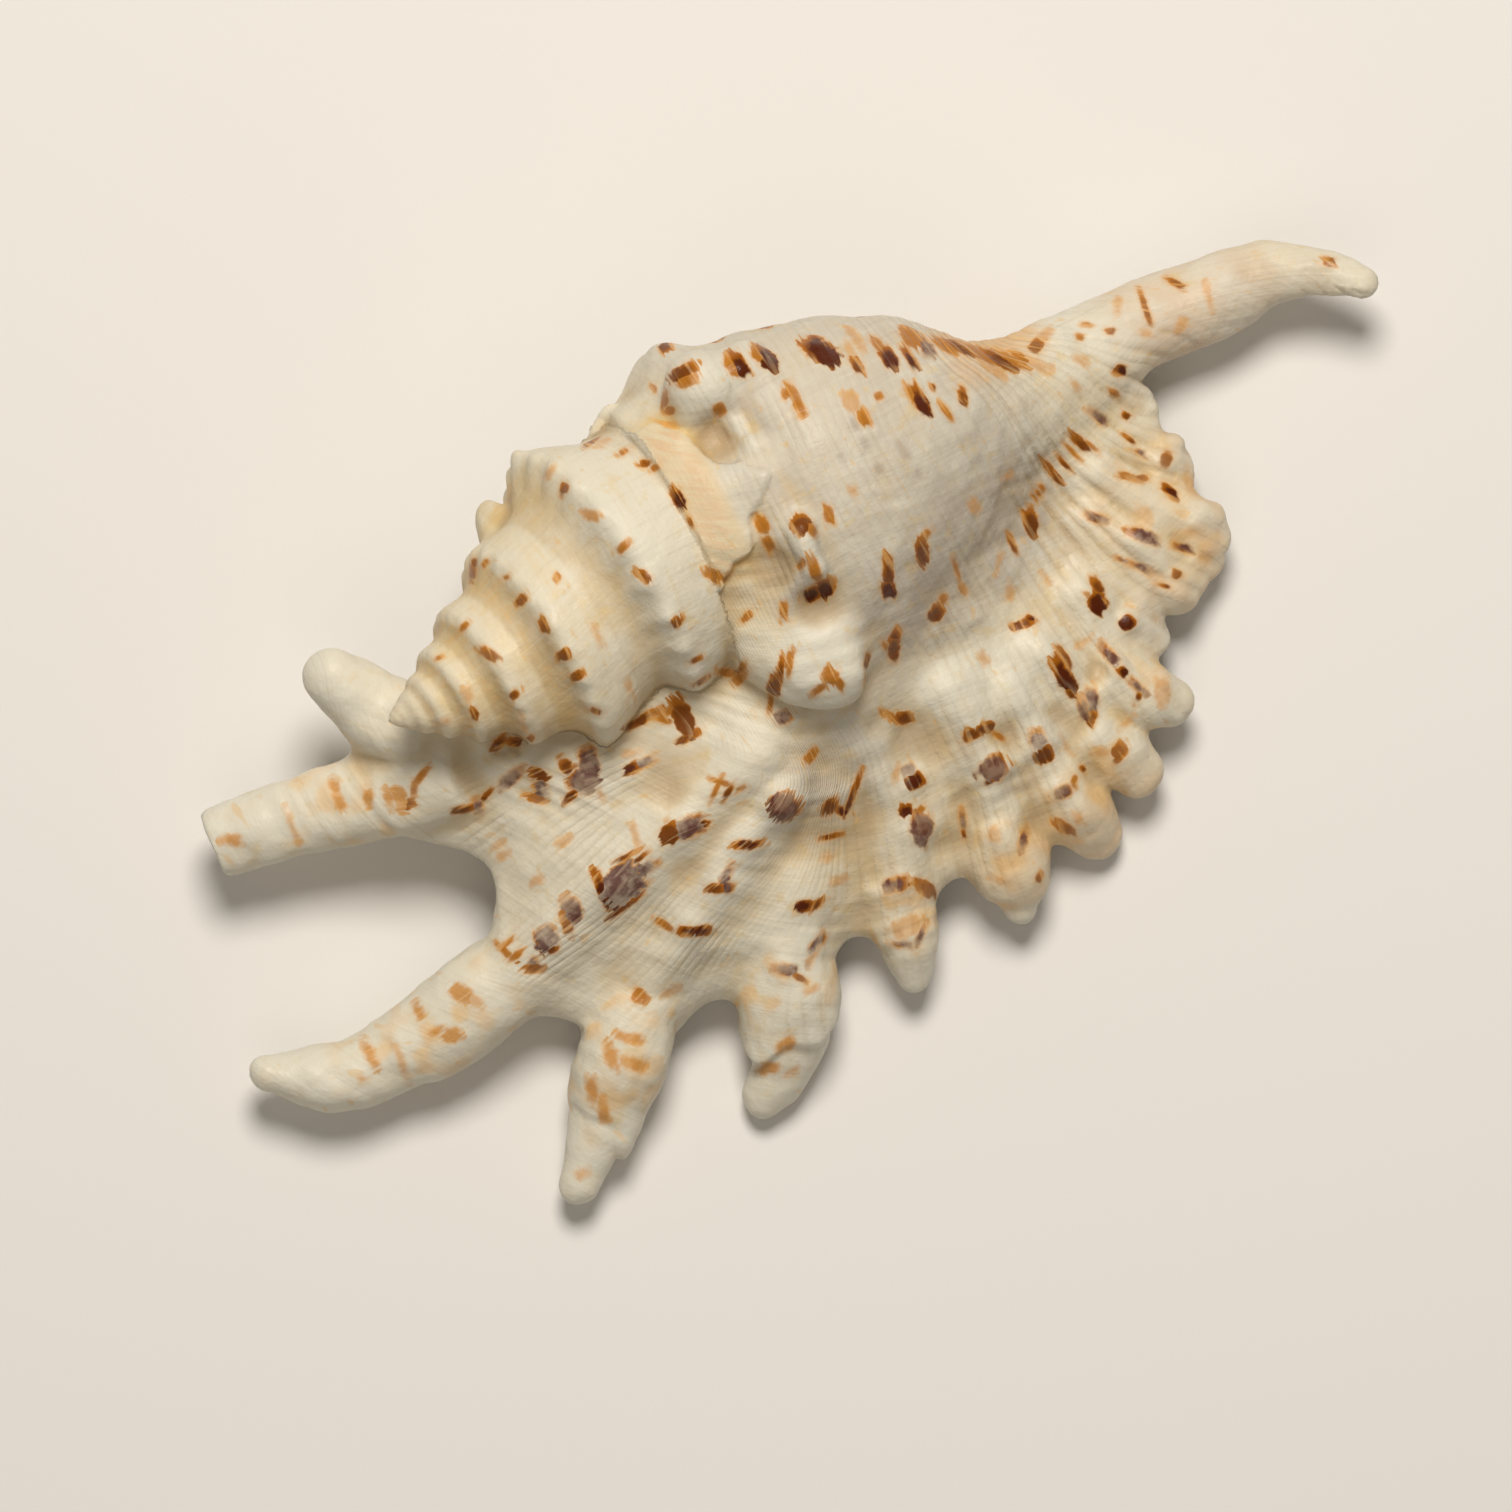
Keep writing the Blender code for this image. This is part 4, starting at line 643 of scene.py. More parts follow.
def spire_radius(s, turn):
    """Radius of the stepped cone at distance s from the apex."""
    whorl = whorls_from_top(s, turn)
    part = whorl - np.floor(whorl)
    share = smooth_table(WHORL_PROFILE, 1, part)
    base = (SPIRE_WIDTH - SPIRE_NARROWING * s) * s
    lip_side = np.exp(-(turn_gap(turn, 0.25) / 0.11)**2)
    far_side = np.exp(-(turn_gap(turn, 0.75) / 0.13)**2)
    share = share + smooth_table(SPIRE_LIP_SIDE, 1, s) * lip_side
    share = share + smooth_table(SPIRE_FAR_SIDE, 1, s) * far_side
    phase = NODULES_PER_WHORL * (np.floor(whorl) + turn) + NODULE_PHASE
    pulse = (0.5 + 0.5 * np.cos(2.0 * math.pi * phase))**1.4
    keel = np.exp(-((part - KEEL_AT + 0.03) / np.where(part < KEEL_AT - 0.03, 0.13, 0.075))**2)
    strength = NODULE_HEIGHT * (1.0 - 0.55 * lip_side + 0.6 * far_side)
    share = share + strength * keel * (pulse - 0.35)
    seam = np.minimum(part, 1.0 - part)
    return base * share - SUTURE_DEPTH * np.exp(-(seam / 0.022)**2)


def body_radius(x, turn):
    """Radius of the last whorl at axis position x, blended between four sides."""
    sides = np.array([smooth_table(BODY_SECTIONS, k, x) for k in (2, 3, 4, 5)])
    quarter = (turn % 1.0) * 4.0
    first = np.floor(quarter).astype(int) % 4
    mix = ease(0.0, 1.0, quarter - np.floor(quarter))
    here = np.take_along_axis(sides, first[None], axis=0)[0]
    after = np.take_along_axis(sides, ((first + 1) % 4)[None], axis=0)[0]
    return here * (1.0 - mix) + after * mix


def knob_height(knobs, x, turn):
    """How far the knobs lift the wall of the coil."""
    total = 0.0
    for knob_x, knob_turn, height, half_length, half_turn in knobs:
        along = (x - knob_x) / half_length
        across = turn_gap(turn, knob_turn) / half_turn
        total = total + height * np.exp(-along**4 - np.abs(across)**2.6)
    return total


def grid_quads(rows, columns, wrap):
    """Quads between the points of a grid, row after row."""
    row = np.arange(rows - 1)[:, None]
    k = np.arange(columns if wrap else columns - 1)[None, :]
    a = row * columns + k
    b = row * columns + (k + 1) % columns
    return np.stack([a, b, b + columns, a + columns], axis=-1).reshape(-1, 4)


def closed_tube(points, rings, around):
    """Tube through rings of points, with a fan of degenerate quads over each end."""
    quads = [grid_quads(rings, around, wrap=True)]
    ring = np.arange(around)
    for end, facing in ((ring, -1), (ring + (rings - 1) * around, 1)):
        centre = np.full_like(end, len(points))
        points = np.vstack([points, points[end].mean(axis=0)])
        quads.append(np.stack([end, np.roll(end, -1), centre, centre], axis=-1)[:, ::facing])
    return points, np.vstack(quads)


def coil_surface(around=420):
    """Spire and last whorl: a loft of unlike sections along the coil axis."""
    steps = np.append(np.linspace(0.4, 32.9, 190), np.linspace(34.3, 80.0, 170))
    x = (APEX[0] + steps)[:, None] * np.ones((1, around))
    turn = np.ones((len(steps), 1)) * (np.arange(around) / around)[None, :]
    s = (x - APEX[0]) * math.sqrt(1.0 + AXIS_SLOPE_Z**2)
    in_spire = s < LAST_SUTURE
    y = np.where(in_spire, smooth_table(SPIRE_AXIS, 1, x), smooth_table(BODY_SECTIONS, 1, x))
    radius = np.where(in_spire, spire_radius(s, turn) + knob_height(SPIRE_KNOBS, x, turn),
                      body_radius(x, turn) + knob_height(KNOBS, x, turn))
    tilt = math.atan(AXIS_SLOPE_Z)
    angle = 2.0 * math.pi * turn
    rise = radius * np.cos(angle)
    points = np.stack([x - rise * math.sin(tilt), y - radius * np.sin(angle),
                       axis_height(x) + rise * math.cos(tilt)], axis=-1).reshape(-1, 3)
    return closed_tube(points, len(steps), around)


def lip_fold_height(x, y):
    """Extra height of the folds that run from the knobs out to the digits."""
    total = np.zeros(np.shape(x))
    for path, height, half_width in LIP_FOLDS:
        near = distance_to_path(x, y, path)[0] / half_width
        total = np.maximum(total, height * np.exp(-near * near))
    return total


def lip_surface(along=520, across=110):
    """Flared lip: a sheet lofted from the body to its scalloped edge."""
    table = [(i, *root, *edge) for i, (root, edge) in enumerate(LIP_STRIPS)]
    u = np.linspace(0.0, len(LIP_STRIPS) - 1.0, along)
    x0, y0, x1, y1 = [smooth_table(table, k, u)[:, None] for k in (1, 2, 3, 4)]
    t = np.linspace(0.0, 1.0, across)[None, :]
    x = x0 + (x1 - x0) * t
    y = y0 + (y1 - y0) * t
    z = thin_plate(LIP_HEIGHTS)(x, y) + lip_fold_height(x, y)
    to_edge = (1.0 - t) * np.hypot(x1 - x0, y1 - y0)
    inward = np.minimum(1.0, to_edge / LIP_THICKENS_OVER)
    thick = LIP_EDGE_THICKNESS + (LIP_ROOT_THICKNESS - LIP_EDGE_THICKNESS) * inward
    reach, depth = LIP_EDGE_ROUNDING
    edge = np.maximum(0.0, 1.0 - to_edge / reach)
    droop = depth * edge * edge
    sheets = [np.stack([x, y, level], axis=-1).reshape(-1, 3)
              for level in (z - droop, z - thick + droop)]
    offset = along * across
    over = grid_quads(along, across, wrap=False)
    number = np.arange(offset).reshape(along, across)
    rim = np.concatenate([number[0], number[1:, -1], number[-1, -2::-1], number[-2:0:-1, 0]])
    after = np.roll(rim, -1)
    wall = np.stack([after, rim, rim + offset, after + offset], axis=-1)
    return np.vstack(sheets), np.vstack([over, over[:, ::-1] + offset, wall])


def tube_surface(path, stop=1.0, extra=0.0, slant=0.0, ragged=0.0, seed=0, dome=True,
                 around=64, rings=90, caps=9):
    """Horn along a curve; it may stop early with a slanted and ragged edge."""
    spine = np.array(path, float)
    steps = np.append(0.0, np.cumsum(np.linalg.norm(np.diff(spine[:, :3], axis=0), axis=1)))
    table = [(step, *row) for step, row in zip(steps, spine)]
    length = steps[-1] * stop
    at = np.linspace(0.0, length, rings)
    centre = np.stack([smooth_table(table, k, at) for k in (1, 2, 3)], axis=-1)
    radius = smooth_table(table, 4, at) + extra
    ahead = np.gradient(centre, axis=0)
    ahead /= np.linalg.norm(ahead, axis=1)[:, None]
    side = np.cross(ahead, (0.0, 0.0, 1.0))
    side /= np.linalg.norm(side, axis=1)[:, None]
    up = np.cross(side, ahead)
    if dome:
        quarter = np.linspace(0.0, math.pi / 2, caps + 1)[1:, None]
        centre = np.vstack([centre, centre[-1] + ahead[-1] * (np.sin(quarter) * radius[-1])])
        ahead, side, up = [np.vstack([way, np.repeat(way[-1:], caps, axis=0)])
                           for way in (ahead, side, up)]
        radius = np.append(radius, radius[-1] * (np.cos(quarter) + 0.01))
        at = np.append(at, np.full(caps, length))
    angle = np.linspace(0.0, 2.0 * math.pi, around, endpoint=False)
    shift = slant * np.cos(angle - 0.6)
    if ragged:
        wave = np.random.default_rng(seed).uniform(0.0, 2.0 * math.pi, 4)
        for k, phase in enumerate(wave):
            shift = shift + ragged * np.sin((k + 3) * angle + phase) / (1.0 + 0.5 * k)
    near_end = (at / length)[:, None]**6
    round_about = (side[:, None, :] * np.cos(angle)[None, :, None]
                   + up[:, None, :] * np.sin(angle)[None, :, None])
    points = centre[:, None, :] + radius[:, None, None] * round_about
    points = points + ahead[:, None, :] * (near_end * shift[None, :])[:, :, None]
    return closed_tube(points.reshape(-1, 3), len(at), around)


def mouth_surface(rings=60, arc=30):
    """Hollow of the mouth: it rises beside the pillar and curls over it."""
    share = np.arange(arc + 1) / arc
    angle = np.radians(MOUTH_CURL_START * (1.0 - share) + MOUTH_CURL_END * share)
    rows = []
    for x in np.linspace(MOUTH_SECTIONS[0][0], MOUTH_SECTIONS[-1][0], rings):
        outer, inner, roof, gap = [float(smooth_table(MOUTH_SECTIONS, k, x)) for k in (1, 2, 3, 4)]
        y = float(smooth_table(BODY_SECTIONS, 1, x))
        z = axis_height(x)
        over, under = [np.stack([np.full(arc + 1, x), y - (y - wall) * np.sin(angle),
                                 z + (top - z) * np.cos(angle)], axis=-1)
                       for wall, top in ((outer, roof), (inner, roof - gap))]
        rows.append(np.vstack([[(x, outer - MOUTH_LEAN[0], z - MOUTH_DROP)], over, under[::-1],
                               [(x, inner - MOUTH_LEAN[1], z - MOUTH_DROP)]]))
    return closed_tube(np.vstack(rows), rings, len(rows[0]))


# ---------------------------------------------------------------- volume

GRID_START = [int(math.floor(v / CELL)) for v in GRID_LOW]
GRID_SHAPE = [int(math.ceil(v / CELL)) - start for v, start in zip(GRID_HIGH, GRID_START)]
FAR = CELL * BAND_CELLS


def depth_block(surface):
    """Signed distance to a closed surface on the shared grid, cut off at FAR."""
    points, quads = surface
    level = openvdb.FloatGrid.createLevelSetFromPolygons(
        points.astype(np.float32), quads=quads.astype(np.uint32),
        transform=openvdb.createLinearTransform(voxelSize=CELL), halfWidth=float(BAND_CELLS))
    block = np.empty(GRID_SHAPE, np.float32)
    level.copyToArray(block, ijk=tuple(GRID_START))
    return block


def surface_of(block):
    """Quads of the zero surface of a block, facing outwards, with points in millimetres."""
    level = openvdb.FloatGrid(FAR)
    level.copyFromArray(np.ascontiguousarray(block, np.float32), ijk=tuple(GRID_START),
                        tolerance=1e-4)
    level.transform = openvdb.createLinearTransform(voxelSize=CELL)
    points, quads = level.convertToQuads(isovalue=0.0)
    quads = quads.astype(int)
    points = even_out(points.astype(float), quads, passes=2)
    a, b, c = [points[corner] for corner in triangles_of(quads).T]
    inside_out = np.einsum("ij,ij->i", a, np.cross(b, c)).sum() < 0.0
    return points, quads[:, ::-1] if inside_out else quads


def even_out(points, quads, passes):
    """Move each point part of the way to the middle of its neighbours, and back."""
    a = quads.reshape(-1)
    b = np.roll(quads, -1, axis=1).reshape(-1)
    count = np.bincount(a, minlength=len(points)) + np.bincount(b, minlength=len(points))
    for step in range(passes):
        share = 0.5 if step % 2 == 0 else -0.48
        middle = np.stack([
            np.bincount(a, points[b, k], len(points)) + np.bincount(b, points[a, k], len(points))
            for k in range(3)], axis=-1) / count[:, None]
        points = points + share * (middle - points)
    return points


def triangles_of(quads):
    return np.vstack([quads[:, [0, 1, 2]], quads[:, [0, 2, 3]]])


def vertex_normals(points, quads):
    corners = triangles_of(quads).T
    a, b, c = [points[corner] for corner in corners]
    face = np.cross(b - a, c - a)
    normals = np.zeros_like(points)
    for corner, axis in itertools.product(corners, range(3)):
        normals[:, axis] += np.bincount(corner, face[:, axis], len(points))
    return normals / (np.linalg.norm(normals, axis=1)[:, None] + 1e-12)


def grow_together(a, b, blend):
    """Union of two volumes with a fillet of about the given width."""
    h = np.clip(0.5 + 0.5 * (b - a) / blend, 0.0, 1.0)
    return b * (1.0 - h) + a * h - blend * h * (1.0 - h)


def sample(block, points):
    """Values of a block at points in millimetres, blended between cells."""
    place = points / CELL - np.array(GRID_START)
    place = np.clip(place, 0.0, np.array(GRID_SHAPE) - 1.001)
    cell = np.floor(place).astype(int)
    return blend_corners(block, cell.T, (place - cell).T)


def soften(block):
    """One pass of a small blur along each axis."""
    for axis in range(3):
        block = 0.25 * np.roll(block, 1, axis) + 0.5 * block + 0.25 * np.roll(block, -1, axis)
    return block


def crowding_block(block, reach=4):
    """Share of solid around each cell: above a half in creases, below on ridges."""
    solid = (block < 0.0).astype(np.float32)
    for axis in (0, 1, 2, 0, 1, 2):
        total = np.cumsum(solid, axis=axis, dtype=np.float64)
        solid = ((np.roll(total, -reach, axis) - np.roll(total, reach + 1, axis))
                 / (2 * reach + 1)).astype(np.float32)
    return solid


def build_volume():
    """The shell's volume above the floor, and the volumes of its parts."""
    coil = depth_block(coil_surface())
    lip = depth_block(lip_surface())
    tubes = [tube_surface(path, dome=number != CUT_DIGIT)
             for number, path in enumerate(DIGITS, start=1)]
    tubes += [tube_surface(DIGITS[number - 1], stop, thick, slant, ragged, number, dome=False)
              for number, stop, thick, slant, ragged in SLEEVES]
    limbs = functools.reduce(np.minimum, map(depth_block, tubes))
    canal = depth_block(tube_surface(CANAL))
    hollows = [mouth_surface(), tube_surface(MOUTH_SLOT), tube_surface(CANAL_GROOVE)]
    mouth = functools.reduce(np.minimum, map(depth_block, hollows))
    whole = grow_together(lip, limbs, DIGIT_FILLET)
    whole = grow_together(whole, canal, CANAL_FILLET)
    along_x = (np.arange(GRID_SHAPE[0]) + GRID_START[0]) * CELL
    fillet = 0.5 + BODY_FILLET * ease(12.0, 19.0, along_x)
    whole = grow_together(whole, coil, fillet[:, None, None].astype(np.float32))
    whole = soften(-grow_together(-whole, mouth, MOUTH_FILLET))
    depth = np.arange(GRID_SHAPE[2]) * CELL + GRID_START[2] * CELL
    whole = np.maximum(whole, -depth[None, None, :].astype(np.float32))
    return whole, (coil, lip, np.minimum(limbs, canal), mouth)


# ---------------------------------------------------------------- places

def flow_tables():
    """Cord number and growth as smooth functions of the plan."""
    cords = []
    growths = []
    for number, start, path in FLOW_LINES:
        length = float(start)
        before = path[0]
        for x, y in path:
            length += math.hypot(x - before[0], y - before[1])
            before = (x, y)
            cords.append((x, y, number))
            growths.append((x, y, length))
    return thin_plate(cords), thin_plate(growths)


class Place:
    """What is known about each point: where it is on the shell."""

    def __init__(self, points, normals, parts, flow):
        coil, lip, limb, mouth = [sample(block, points) for block in parts]
        x, y, z = points.T
        self.x, self.y, self.z = x, y, z
        self.up = normals[:, 2]
        self.growth = flow[1](x, y)
        cord = flow[0](x, y)
        wander = lattice_noise(cord * 0.8, self.growth * 0.12, 0.0, size=2.0, seed=11)
        self.cord = cord + 0.30 * wander
        crowd = np.logaddexp(0.0, (5.0 - self.cord) / 1.5) * 1.5
        self.stria = self.cord - 0.9 * crowd
        s = (x - APEX[0] + math.sin(math.atan(AXIS_SLOPE_Z))
             * (z - APEX[2] - AXIS_SLOPE_Z * (x - APEX[0])))
        self.s = s * math.sqrt(1.0 + AXIS_SLOPE_Z**2)
        axis_y = smooth_table(SPIRE_AXIS, 1, x)
        axis_z = axis_height(x)
        self.turn = np.arctan2(-(y - axis_y), z - axis_z) / (2.0 * math.pi)
        self.radius = np.hypot(y - axis_y, z - axis_z)
        whorl = whorls_from_top(self.s, self.turn)
        self.part = whorl - np.floor(whorl)
        self.on_coil = ease(-0.25, 0.35, np.minimum(lip, limb) - coil)
        self.in_mouth = 1.0 - ease(0.15, 0.7, np.abs(mouth))
        self.on_limb = ease(-0.2, 0.4, np.minimum(lip, coil) - limb)
        self.on_spire = self.on_coil * (1.0 - ease(LAST_SUTURE - 0.5, LAST_SUTURE + 0.3, self.s))
        self.off_spire = 1.0 - self.on_spire
        self.on_back = ease(-0.15, 0.25, self.up)
        self.under = ease(0.1, 0.5, -self.up)
        self.on_neck = ease(30.0, 38.0, self.cord) * ease(57.0, 50.0, self.cord)
        self.bare = 1.0 - ease(-0.15, 0.55, lattice_noise(x, y, z, size=7.0, seed=83))

    def cords_left(self):
        """Share of the cords left where they are worn or glazed over."""
        knob = blob(self, 10.0, 5.5, 6.5, 7.0)
        enamel = ease(13.0, 9.0, self.x) * ease(15.0, 19.0, self.y)
        worn = blob(self, 20.0, -3.5, 13.0, 4.5)
        return (1.0 - 0.9 * knob) * (1.0 - 0.7 * enamel) * (1.0 - 0.55 * worn)

    def in_pit(self, width=1.0):
        """Distance from the middle of the dirt pit, as a share of its radius."""
        px, py, radius = DIRT_PIT
        return np.hypot(self.x - px, 1.3 * (self.y - py)) / (radius * width)


# ---------------------------------------------------------------- relief

def cord_relief(place):
    """Ridges of the spiral cords, strongest at the neck and the front of the lip."""
    x, y = place.x, place.y
    front = ease(25.0, 36.0, x) * ease(13.0, 4.0, y) + ease(36.0, 42.0, x) * ease(20.0, 14.0, y)
    front = np.clip(front, 0.0, 1.0)
    back_lip = ease(4.0, -3.0, y) * ease(8.0, 2.0, x) + ease(-8.0, -14.0, x) * ease(12.0, 6.0, y)
    whorl = ease(13.0, 20.0, x) * ease(4.0, 10.0, y)
    coarse = ridges(place.cord, COARSE_CORDS, 0.7) - 0.62
    fine = ridges(place.cord, COARSE_CORDS / 2.0, 0.8) - 0.6
    folds = ridges(place.cord, FOLD_CORDS) - 0.6
    patch = 0.65 + 0.5 * lattice_noise(place.cord, place.growth * 0.3, 5.0, size=3.0, seed=12)
    patch = patch * (1.0 - 0.7 * ease(6.0, -2.0, x) * place.bare)
    total = (0.07 * whorl + 0.26 * place.on_neck + 0.12 * front) * coarse
    total += 0.15 * front * fine + 0.03 * whorl * fine
    total += 0.11 * np.clip(back_lip, 0.0, 1.0) * folds
    return total * patch * (place.off_spire * place.on_back) * place.cords_left()


def growth_relief(place):
    """Low ridges that run along the edge of the lip, where growth paused."""
    wander = lattice_noise(place.cord * 0.5, place.growth, 0.0, size=5.0, seed=21)
    ripple = np.sin(2.0 * math.pi * (place.growth / GROWTH_SPACING + 0.8 * wander))
    patch = np.clip(lattice_noise(place.x, place.y, place.z, size=6.0, seed=22) + 0.3, 0.0, 1.0)
    return 0.07 * ripple * patch * place.off_spire * place.on_back


def lump_relief(place):
    """Uneven wall: lumps of three sizes, and the bumps and dents of the table."""
    x, y, z = place.x, place.y, place.z
    total = 0.0
    for size, height, seed, calmer in LUMPS:
        calm = 1.0 - 0.6 * place.on_spire if calmer else 1.0
        total = total + height * calm * lattice_noise(x, y, z, size, seed)
    for px, py, radius, height in TUBERCLES:
        square = ((x - px)**2 + (y - py)**2) / radius**2
        total += 0.75 * height * np.exp(-0.55 * square * (1.0 + 0.2 * square)) * place.on_back
    return total


def enamel_relief(place):
    """Step of the enamel layer at its wavy edge."""
    gap, side = distance_to_path(place.x, place.y, ENAMEL_EDGE)
    ragged = 0.25 * lattice_noise(place.x, place.y, 0.0, size=0.9, seed=41)
    near = (place.x < 16.0) & (place.y > 16.5) & (place.up > 0.0)
    step = ease(-0.2, 0.3, ragged - gap * side) * near
    return ENAMEL_THICKNESS * step * (place.on_coil * place.off_spire)


def mouth_relief(place):
    """Fine ridges inside the lip, seen from below."""
    inside = place.under * (1.0 - place.on_coil) * (1.0 - place.on_limb)
    wander = 0.25 * lattice_noise(place.cord, place.growth, 0.0, size=3.0, seed=51)
    fade = ease(2.0, 8.0, 50.0 - place.growth)
    ribs = ridges(place.cord / MOUTH_CORDS + wander) - 0.6
    return 0.16 * inside * ribs * (0.3 + 0.7 * fade)


def pit_relief(place):
    rough = lattice_noise(place.x, place.y, place.z, size=0.7, seed=61)
    return -np.exp(-place.in_pit()**4) * (0.35 + 0.45 * rough) * (place.up > -0.2)


RELIEFS = (cord_relief, growth_relief, lump_relief, enamel_relief, mouth_relief, pit_relief)


def axial_strength(place):
    """Where short orange ribs stand across the cords: below sutures, on ramps."""
    x, y = place.x, place.y
    ramp = ease(0.46, 0.40, place.part) * ease(0.08, 0.16, place.part)
    ramp = ramp * place.on_spire * ease(-5.0, -12.0, x)
    band = np.exp(-((x - 6.6) / 2.0)**4) * ease(16.0, 20.0, y) * ease(37.0, 34.0, y)
    patch = 0.6 + 0.6 * lattice_noise(x, y, place.z, size=5.0, seed=82)
    return np.clip((0.35 * ramp + 1.3 * band * place.off_spire) * patch, 0.0, 1.0)


def rib_strength(place):
    """How clearly the finest cords show, from 0 to 1."""
    x, y = place.x, place.y
    lip = np.maximum(ease(8.0, 0.0, y), ease(-6.0, -14.0, x))
    digits = 0.7 * ease(-33.0, -38.0, x) + 0.6 * ease(54.0, 60.0, x)
    patch = 0.75 + 0.4 * lattice_noise(x, y, place.z, size=6.0, seed=81)
    behind = ease(6.0, -2.0, x) * place.bare
    share = np.maximum((0.50 + 0.4 * lip) * (1.0 - 0.8 * behind), 0.95 * place.on_neck) - digits
    share = np.where(place.on_spire > 0.5, 0.15, share * place.cords_left())
    return np.clip(share * patch, 0.05, 1.0)


# ---------------------------------------------------------------- laying out the marks

def all_marks(place, flow):
    """Every mark as (x, y, z, half length, half width, kind, direction)."""
    marks = []
    for px, py, half_length, half_width, name, *angle in MARKS + SPIRE_MARKS:
        if angle:
            direction = math.radians(angle[0])
        else:
            slope_x = flow[0](px + 0.1, py) - flow[0](px - 0.1, py)
            slope_y = flow[0](px, py + 0.1) - flow[0](px, py - 0.1)
            direction = math.atan2(slope_x, -slope_y)
        if 0.4 * math.cos(direction) + math.sin(direction) < 0.0:
            direction += math.pi
        reach = np.hypot(place.x - px, place.y - py)
        close = reach < 0.7
        pz = place.z[close].max() if close.any() else place.z[np.argmin(reach)]
        marks.append((px, py, pz, half_length, half_width, name, direction))
    return marks


def spread_over_layers(marks):
    """Give each mark a layer, so that marks close together get different ones."""
    share = np.linspace(-1.0, 1.0, 5)
    spines = []
    for px, py, _, half_length, half_width, _, direction in marks:
        reach = max(half_length - half_width, 0.0) * share
        spines.append(np.stack([px + reach * math.cos(direction),
                                py + reach * math.sin(direction)], axis=-1))
    layers = [[] for _ in range(MARK_LAYERS)]
    for number, spine in enumerate(spines):
        room = []
        for layer in layers:
            gaps = [np.hypot(*(spine[:, None] - spines[k][None]).transpose(2, 0, 1)).min()
                    - marks[number][4] - marks[k][4] for k in layer]
            room.append(min(gaps, default=99.0))
        free = [k for k, gap in enumerate(room) if gap > 2.0 * MARK_MARGIN]
        layers[free[0] if free else int(np.argmax(room))].append(number)
    return layers


class Layer:
    """Marks far enough apart: each point's place in its nearest one, and that one's kind."""

    def __init__(self, count):
        self.where = np.zeros((count, 3))
        self.kind = np.zeros((count, 4))
        self.nearest = np.full(count, MARK_MARGIN)

    def stamp(self, near, along, across, half_length, half_width, name, fade):
        """Put in one mark, given its nearby points and where they lie from its middle."""
        beyond = np.maximum(np.abs(along) - max(half_length - half_width, 0.0), 0.0)
        gap = np.hypot(beyond, across) - half_width
        ours = gap < self.nearest[near]
        near, along, across, gap, fade = [v[ours] for v in (near, along, across, gap, fade)]
        self.nearest[near] = gap
        shown = fade * (gap < 0.6 * MARK_MARGIN)
        self.where[near] = np.stack([along / half_length, across / half_width, shown], axis=-1)
        self.kind[near] = (*MARK_KINDS[name], half_width)

    def stamp_on_top(self, place, mark):
        px, py, pz, half_length, half_width, name, direction = mark
        reach = max(half_length, half_width) + MARK_MARGIN + 0.5
        near = np.nonzero((np.abs(place.x - px) < reach) & (np.abs(place.y - py) < reach)
                          & (np.abs(place.z - pz) < 6.0))[0]
        dx = place.x[near] - px
        dy = place.y[near] - py
        along = dx * math.cos(direction) + dy * math.sin(direction)
        across = dy * math.cos(direction) - dx * math.sin(direction)
        fade = ease(5.0, 3.0, np.abs(place.z[near] - pz))
        self.stamp(near, along, across, half_length, half_width, name, fade)

    def stamp_on_flank(self, place, px, turn, half_length):
        around = 2.0 * math.pi * place.radius * turn_gap(place.turn, turn)
        near = np.nonzero((np.abs(place.x - px) < 3.0) & (np.abs(around) < 3.5)
                          & (place.on_coil > 0.5))[0]
        self.stamp(near, around[near], place.x[near] - px, half_length, FLANK_MARK_HALF_WIDTH,
                   "brown", np.ones(len(near)))


def mark_layers(place, flow):
    """All marks, spread over layers; the rows on the flank are on the first."""
    marks = all_marks(place, flow)
    layers = []
    for numbers in spread_over_layers(marks):
        layers.append(Layer(len(place.x)))
        for number in numbers:
            layers[-1].stamp_on_top(place, marks[number])
    for mark in FLANK_MARKS:
        layers[0].stamp_on_flank(place, *mark)
    return layers


# ---------------------------------------------------------------- ground colour

